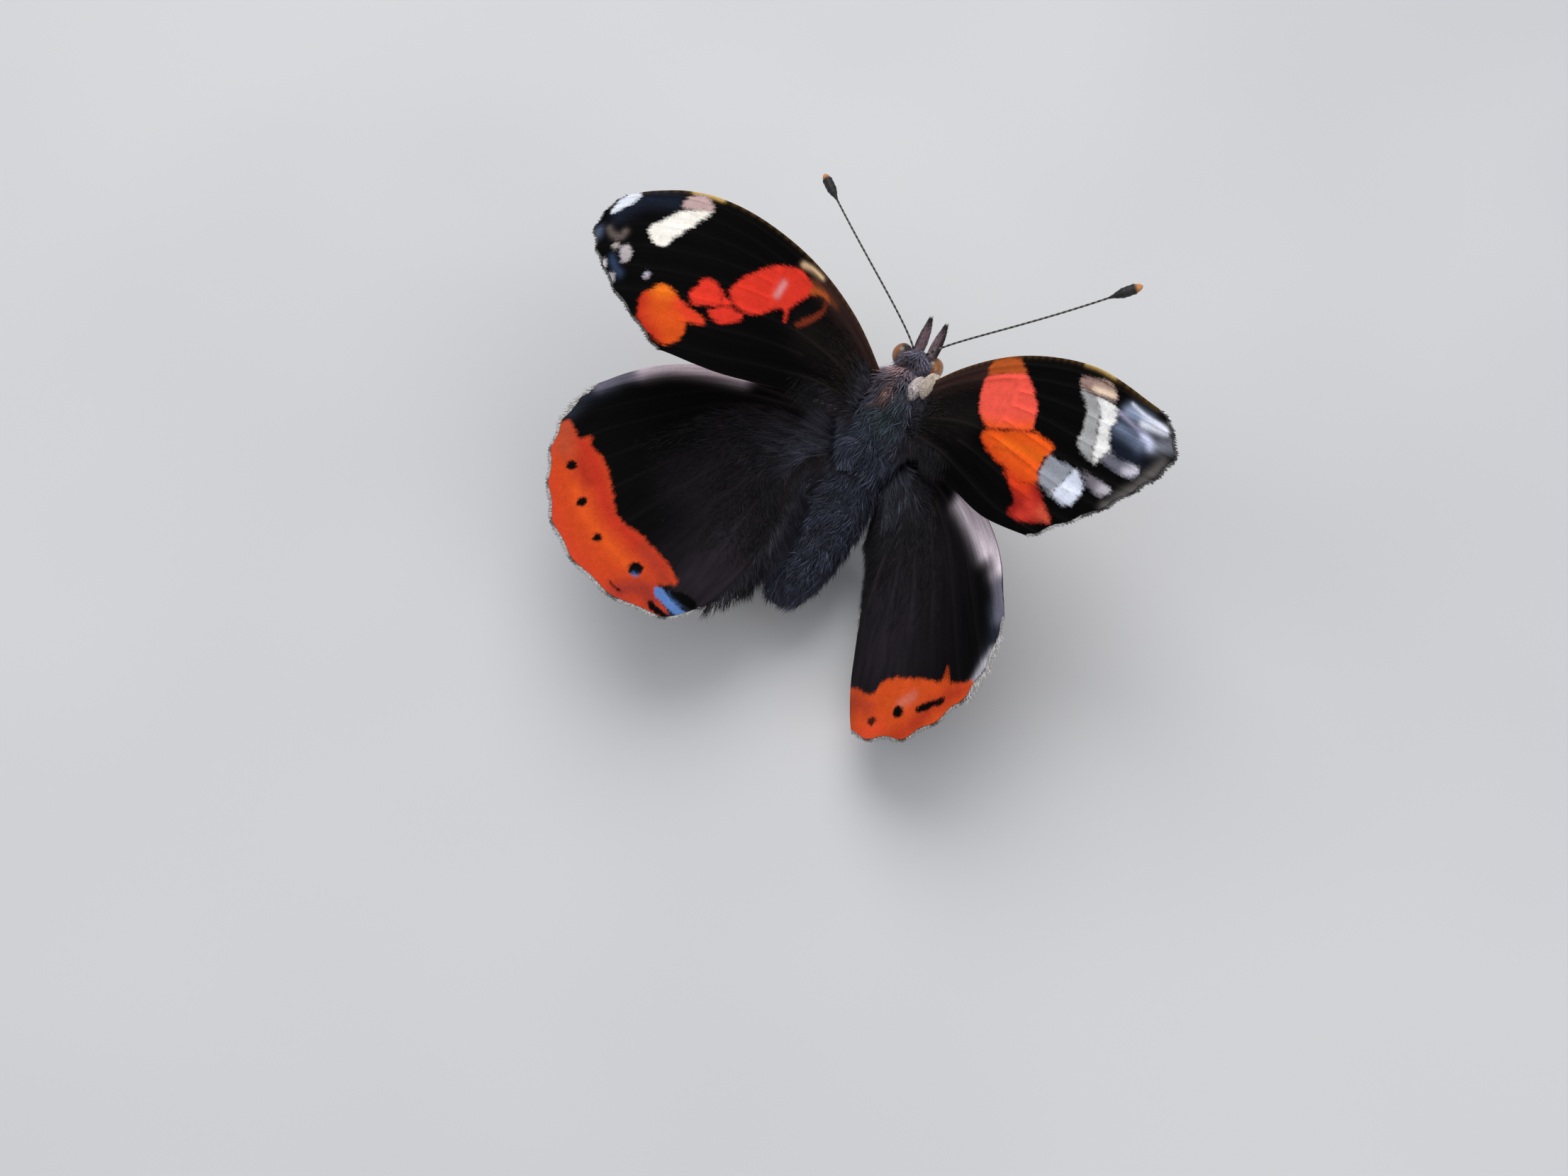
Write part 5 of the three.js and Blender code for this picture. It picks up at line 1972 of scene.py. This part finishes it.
FORE_RIGHT_STREAKS = FORE_STREAKS + (
    # painted sheen: dark blue towards the tip
    Streak(((24.4, 3.4), (25.6, 4.9), (26.8, 5.4)), 0.9, NAVY_SHEEN, 0.9),
    Streak(((28.3, 4.7), (28.9, 4.6), (29.4, 4.6)), 0.55, (0.2, 0.21, 0.25), 0.95),
    Streak(((28.9, 5.8), (28, 6.6), (26.9, 7.5), (25.6, 8.3), (24.6, 8.9)), 0.42, (0.14, 0.125, 0.12), 0.8),
    # painted reflection: blue-white and white streaks of sheen on the tip
    Streak(((25.2, 3.3), (26.2, 3.9), (27.1, 4.6)), 0.5, (0.15, 0.19, 0.28), 0.9),
    Streak(((25.9, 2.1), (26.9, 2.6), (27.6, 3)), 0.45, (0.33, 0.4, 0.55), 0.95),
    Streak(((25.2, 2.3), (26, 2.9), (26.9, 3.6), (27.5, 4.1)), 0.18, (0.36, 0.34, 0.5), 0.9),
    Streak(((27.3, 4), (27.7, 4.3), (27.9, 4.7)), 0.32, (0.66, 0.7, 0.92), 0.95),
    Streak(((27.2, 3.1), (28.2, 3.4), (28.8, 3.6)), 0.33, (0.88, 0.9, 1), 0.95),
    Streak(((26.1, 1.7), (27.6, 2.7), (28.7, 3.3), (29.1, 3.8)), 0.14, (0.85, 0.88, 1), 0.95),
    Streak(((21, -1.8), (22.5, -1.25), (24.2, -0.45)), 0.22, BRIGHT_GOLD, 0.9))

FORE_UNDER = Pattern(UNDER_BROWN, (
    Patch(((11, -2.6), (14, -2.6), (16.5, 2), (19, 6), (20, 10), (17, 9), (13, 5), (11, 1)), RED),
    Patch(((21, -0.6), (24, 2), (24.6, 4), (22.4, 4)), CREAM)))

FORE_RIGHT_CREASES = (
    Streak(((22.9, 0.6), (23.5, 2), (23.7, 3.1), (23.5, 4.7), (23.5, 5.9), (22, 6.4), (20.6, 7.7), (20.3, 8.6)),
           1, WHITE, 0.35),
    Streak(((10, 2.6), (12.8, 2.85), (15.2, 3.1), (17.4, 3.4)), 0.6, WHITE, 0.2))

BASE_HAIR = ((0.014, 0.008, 0.0075), (0.022, 0.013, 0.012), (0.034, 0.02, 0.019))
DARK_HAIR = ((0.012, 0.01, 0.013), (0.022, 0.017, 0.021), (0.034, 0.03, 0.038))
# slate and light hair: their lighter tints are painted highlights on the silky strands as well as the hair's own pale
# slate tone
SLATE_HAIR = ((0.014, 0.013, 0.018), (0.022, 0.021, 0.03), (0.05, 0.05, 0.068))
LIGHT_HAIR = ((0.03, 0.031, 0.044), (0.05, 0.052, 0.072), (0.1, 0.1, 0.135))

FORE_HAIR = (
    HairZone(2000, (2, 9), (0, 0.22), (1.1, 2), BASE_HAIR, 3.5, (0.03, 0.048), locks=0.25, seed=11),
    HairZone(1100, (7.6, 8.97), (0, 0.3), (1.3, 2.9), DARK_HAIR, 5, (0.03, 0.05), inward=0.7, locks=0.6,
             crowding=1.2, seed=12),
    HairZone(900, (2.6, 8.9), (0, 0.09), (1.3, 2.4), SLATE_HAIR, 12, (0.045, 0.07), locks=0.6, seed=17))

HIND_HAIR = (
    HairZone(7600, (3.5, 9.6), (0.02, 0.6), (1.7, 2.9), DARK_HAIR, 5, (0.03, 0.048), locks=0.35, seed=13),
    HairZone(5200, (9, 9.98), (0, 0.9), (1.8, 3.2), SLATE_HAIR, 9, (0.04, 0.065), inward=0.75, crowding=1.1,
             fading=0.4, seed=14),
    HairZone(1500, (0, 3), (0, 0.2), (1, 2), DARK_HAIR, 6, (0.035, 0.055), inward=-0.3, seed=15),
    HairZone(1500, (4.5, 9), (0, 0.34), (2.8, 4.4), LIGHT_HAIR, 8, (0.04, 0.06), locks=0.8, seed=16),
    HairZone(1800, (7.2, 9.2), (0.1, 0.62), (1, 2), DARK_HAIR, 22, (0.03, 0.045), inward=1.1, crowding=1,
             fading=0.3, seed=18))


@dataclass(frozen=True)
class Lamp:
    """A round soft light: its place in millimetres, its size in metres, its power in watts and what it faces."""

    spot: Point
    size: float
    power: float = 0.2
    target: Point = (0, 0, 8)


@dataclass
class Studio:
    """Pale floor, soft lights and the camera at the photograph's angle."""

    eye: Point = (-31.08, 60.83, 125.6)
    looks: Point = (0.2298, -0.3678, -0.9011)
    roll: float = -1.6
    lens: float = 37.06
    sensor: float = 36
    sight: Point = (0.005, 20)
    floor_size: float = 1.6
    floor_hues: tuple[Colour, Colour] = ((0.6, 0.6, 0.61), (0.64, 0.64, 0.64))
    room_hue: Colour = (0.85, 0.9, 1.0)
    room_light: float = 0.32
    lamps: tuple[Lamp, ...] = (
        Lamp((90, -120, 260), 0.28, 0.5), Lamp((-220, 60, 180), 0.24), Lamp((160, 200, 200), 0.3),
        Lamp((0, 0, 320), 0.34, target=(0, 0, 0)))

    def camera(self) -> None:
        """Sets up the camera."""
        data = bpy.data.cameras.new("camera")
        data.lens, data.sensor_width = self.lens, self.sensor
        data.clip_start, data.clip_end = self.sight
        camera = show("camera", data)
        ahead = Vector(self.looks).normalized()
        right = ahead.cross(Vector((0, 0, 1))).normalized()
        up = right.cross(ahead)
        c, s = math.cos(math.radians(self.roll)), math.sin(math.radians(self.roll))
        right, up = c * right + s * up, c * up - s * right
        turned = Matrix((right, up, -ahead)).transposed().to_4x4()
        camera.matrix_world = Matrix.Translation(Vector(self.eye) * MM) @ turned
        bpy.context.scene.camera = camera

    def floor(self) -> None:
        """Lays the floor."""
        shape = bmesh.new()
        bmesh.ops.create_grid(shape, x_segments=1, y_segments=1, size=self.floor_size / 2)
        mesh = bpy.data.meshes.new("floor")
        shape.to_mesh(mesh)
        shape.free()
        material, nodes, shader = Finish("pale floor", roughness=0.9, specular=0.2).start()
        cloud = nodes.step(nodes.noise(60, 2), 0.3, 0.7)
        nodes.feed(shader.inputs["Base Color"], nodes.mix(cloud, *self.floor_hues))
        mesh.materials.append(material)
        show("floor", mesh)

    def light(self) -> None:
        """Hangs the soft lights and gives the room its pale light."""
        for number, lamp in enumerate(self.lamps):
            data = bpy.data.lights.new(f"soft_{number}", "AREA")
            data.shape, data.size, data.energy = "DISK", lamp.size, lamp.power
            light = show(data.name, data)
            light.location = Vector(lamp.spot) * MM
            light.rotation_mode = "QUATERNION"
            light.rotation_quaternion = (Vector(lamp.target) - Vector(lamp.spot)).to_track_quat("-Z", "Y")
        world = bpy.data.worlds.new("room")
        world.use_nodes = True
        colour, strength = world.node_tree.nodes["Background"].inputs[:2]
        colour.default_value, strength.default_value = (*self.room_hue, 1), self.room_light
        bpy.context.scene.world = world
        bpy.context.scene.view_settings.view_transform = "Standard"


@dataclass
class Butterfly:
    """The whole insect."""

    effects: Effects = field(default_factory=Effects)

    def wings(self) -> None:
        """Builds the four wings."""
        scales = WingFinish("wing scales", roughness=0.75, specular=0.04).material(self.effects)
        down = HairFinish("wing hair", roughness=0.45, specular=0.3).material(self.effects)
        wings = (
            Wing("forewing_left", Side.LEFT, FORE_PLAN,
                 WingPose(13.0, 53.6, 6.9, ((32.6, 13.4, 0.054), (0, 3, 0.025))),
                 Pattern(BLACK, FORE_LEFT_MARKS, (), FORE_LEFT_STREAKS, FORE_LEFT_BLUSH), FORE_HAIR,
                 ((0, 10, 0.25),), FORE_UNDER),
            Wing("forewing_right", Side.RIGHT, FORE_PLAN,
                 WingPose(10.0, 49.3, -11.3, ((52.3, 14.3, 0.045), (0, 3, 0.005))),
                 Pattern(BLACK, FORE_RIGHT_MARKS, (), FORE_RIGHT_STREAKS, FORE_RIGHT_BLUSH), FORE_HAIR,
                 ((0, 10, 0.2), (6.6, 9.0, 0.8)), FORE_UNDER, FORE_RIGHT_CREASES),
            Wing("hindwing_left", Side.LEFT, HIND_PLAN,
                 WingPose(-12.2, 26.3, 22.9, ((139, 2.6, 0.05), (45.2, 15.3, 0.013), (0, 3, 0.014))),
                 Pattern(BLACK, HIND_LEFT_MARKS, HIND_LEFT_DOTS, HIND_STREAKS, HIND_LEFT_BLUSH), HIND_HAIR,
                 ((0, 10, 0.9), (0.3, 2.1, 1.7))),
            Wing("hindwing_right", Side.RIGHT, HIND_PLAN,
                 WingPose(-21.3, 42.8, -0.6, ((131, 1.9, 0.3), (46.5, 14.8, 0.016), (0, 3, 0.012))),
                 Pattern(BLACK, HIND_RIGHT_MARKS, HIND_RIGHT_DOTS, HIND_RIGHT_STREAKS, HIND_RIGHT_BLUSH), HIND_HAIR,
                 ((0, 10, 0.7), (0.8, 2.9, 2.3)), worn=(7.2, 2.6, 1.95)))
        for wing in wings:
            wing.build(scales)
            wing.fringe().build(f"{wing.name}_fringe", down, Slot.SCALES)
            for number, zone in enumerate(wing.zones, 1):
                wing.hair(zone).build(f"{wing.name}_hair_{number}", down, Slot.SCALES)

    def body(self) -> None:
        """Builds the body, its eyes, palps, feelers and legs."""
        fur = HairFinish("hairy skin", roughness=0.5, specular=0.3).material(self.effects)
        glossy = EyeFinish("compound eye", roughness=0.3, specular=0.5, coat=0.6).material(self.effects)
        ringed = RingedFinish("ringed feeler", roughness=0.45, pale=(0.14, 0.125, 0.115)).material(self.effects)
        horn = RingedFinish("leg horn", roughness=0.5, dark=(0.07, 0.045, 0.03), pale=(0.3, 0.21, 0.13))
        horny = horn.material(self.effects)
        body = Body()
        body.build(fur)
        body.coat(fur)
        Pad("collar_inner", (-1.55, -3.77, 2.0), (0.74, 1.2, 0.7), -10, (0.97, 0.84, 0.8)).build(fur)
        Pad("collar_outer", (-2.68, -4.24, 2.55), (0.84, 1.3, 1.19), 2, (0.98, 0.83, 0.7)).build(fur)
        rises = {Side.LEFT: ((1.9, -8.6, 2.2), (7.9, -12.0, 2.4), (15.0, -17.5, 1.4)),
                 Side.RIGHT: ((-2.0, -8.8, 2.1), (-7.0, -12.0, 2.4), (-14.3, -19.3, 3.5))}
        for side in Side:
            Eye(side).build(glossy)
            Palp(side).build(fur)
            Foreleg(side).build(fur)
            Feeler(side, rises[side]).build(ringed)
            Leg("midleg", side, (1.2, -0.4, -2.0), (4.6, -3.4, 6.2), (6.9, -5.6, 1.5), (8.1, -8.8)).build(horny, fur)
            Leg("hindleg", side, (1.1, 2.0, -2.2), (4.4, 4.2, 4.1), (6.7, 7.4, 1.4), (8.3, 10.6)).build(horny, fur)


def main() -> None:
    """Builds the studio and the butterfly, and logs how many solids there are to dress."""
    logging.basicConfig(level=logging.INFO, format="%(message)s")
    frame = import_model()
    LOG.info("%d solids to dress", len(frame["nodes"]))
    studio = Studio()
    studio.camera()
    studio.floor()
    studio.light()
    butterfly = Butterfly()
    butterfly.wings()
    butterfly.body()


if __name__ == "__main__":
    main()
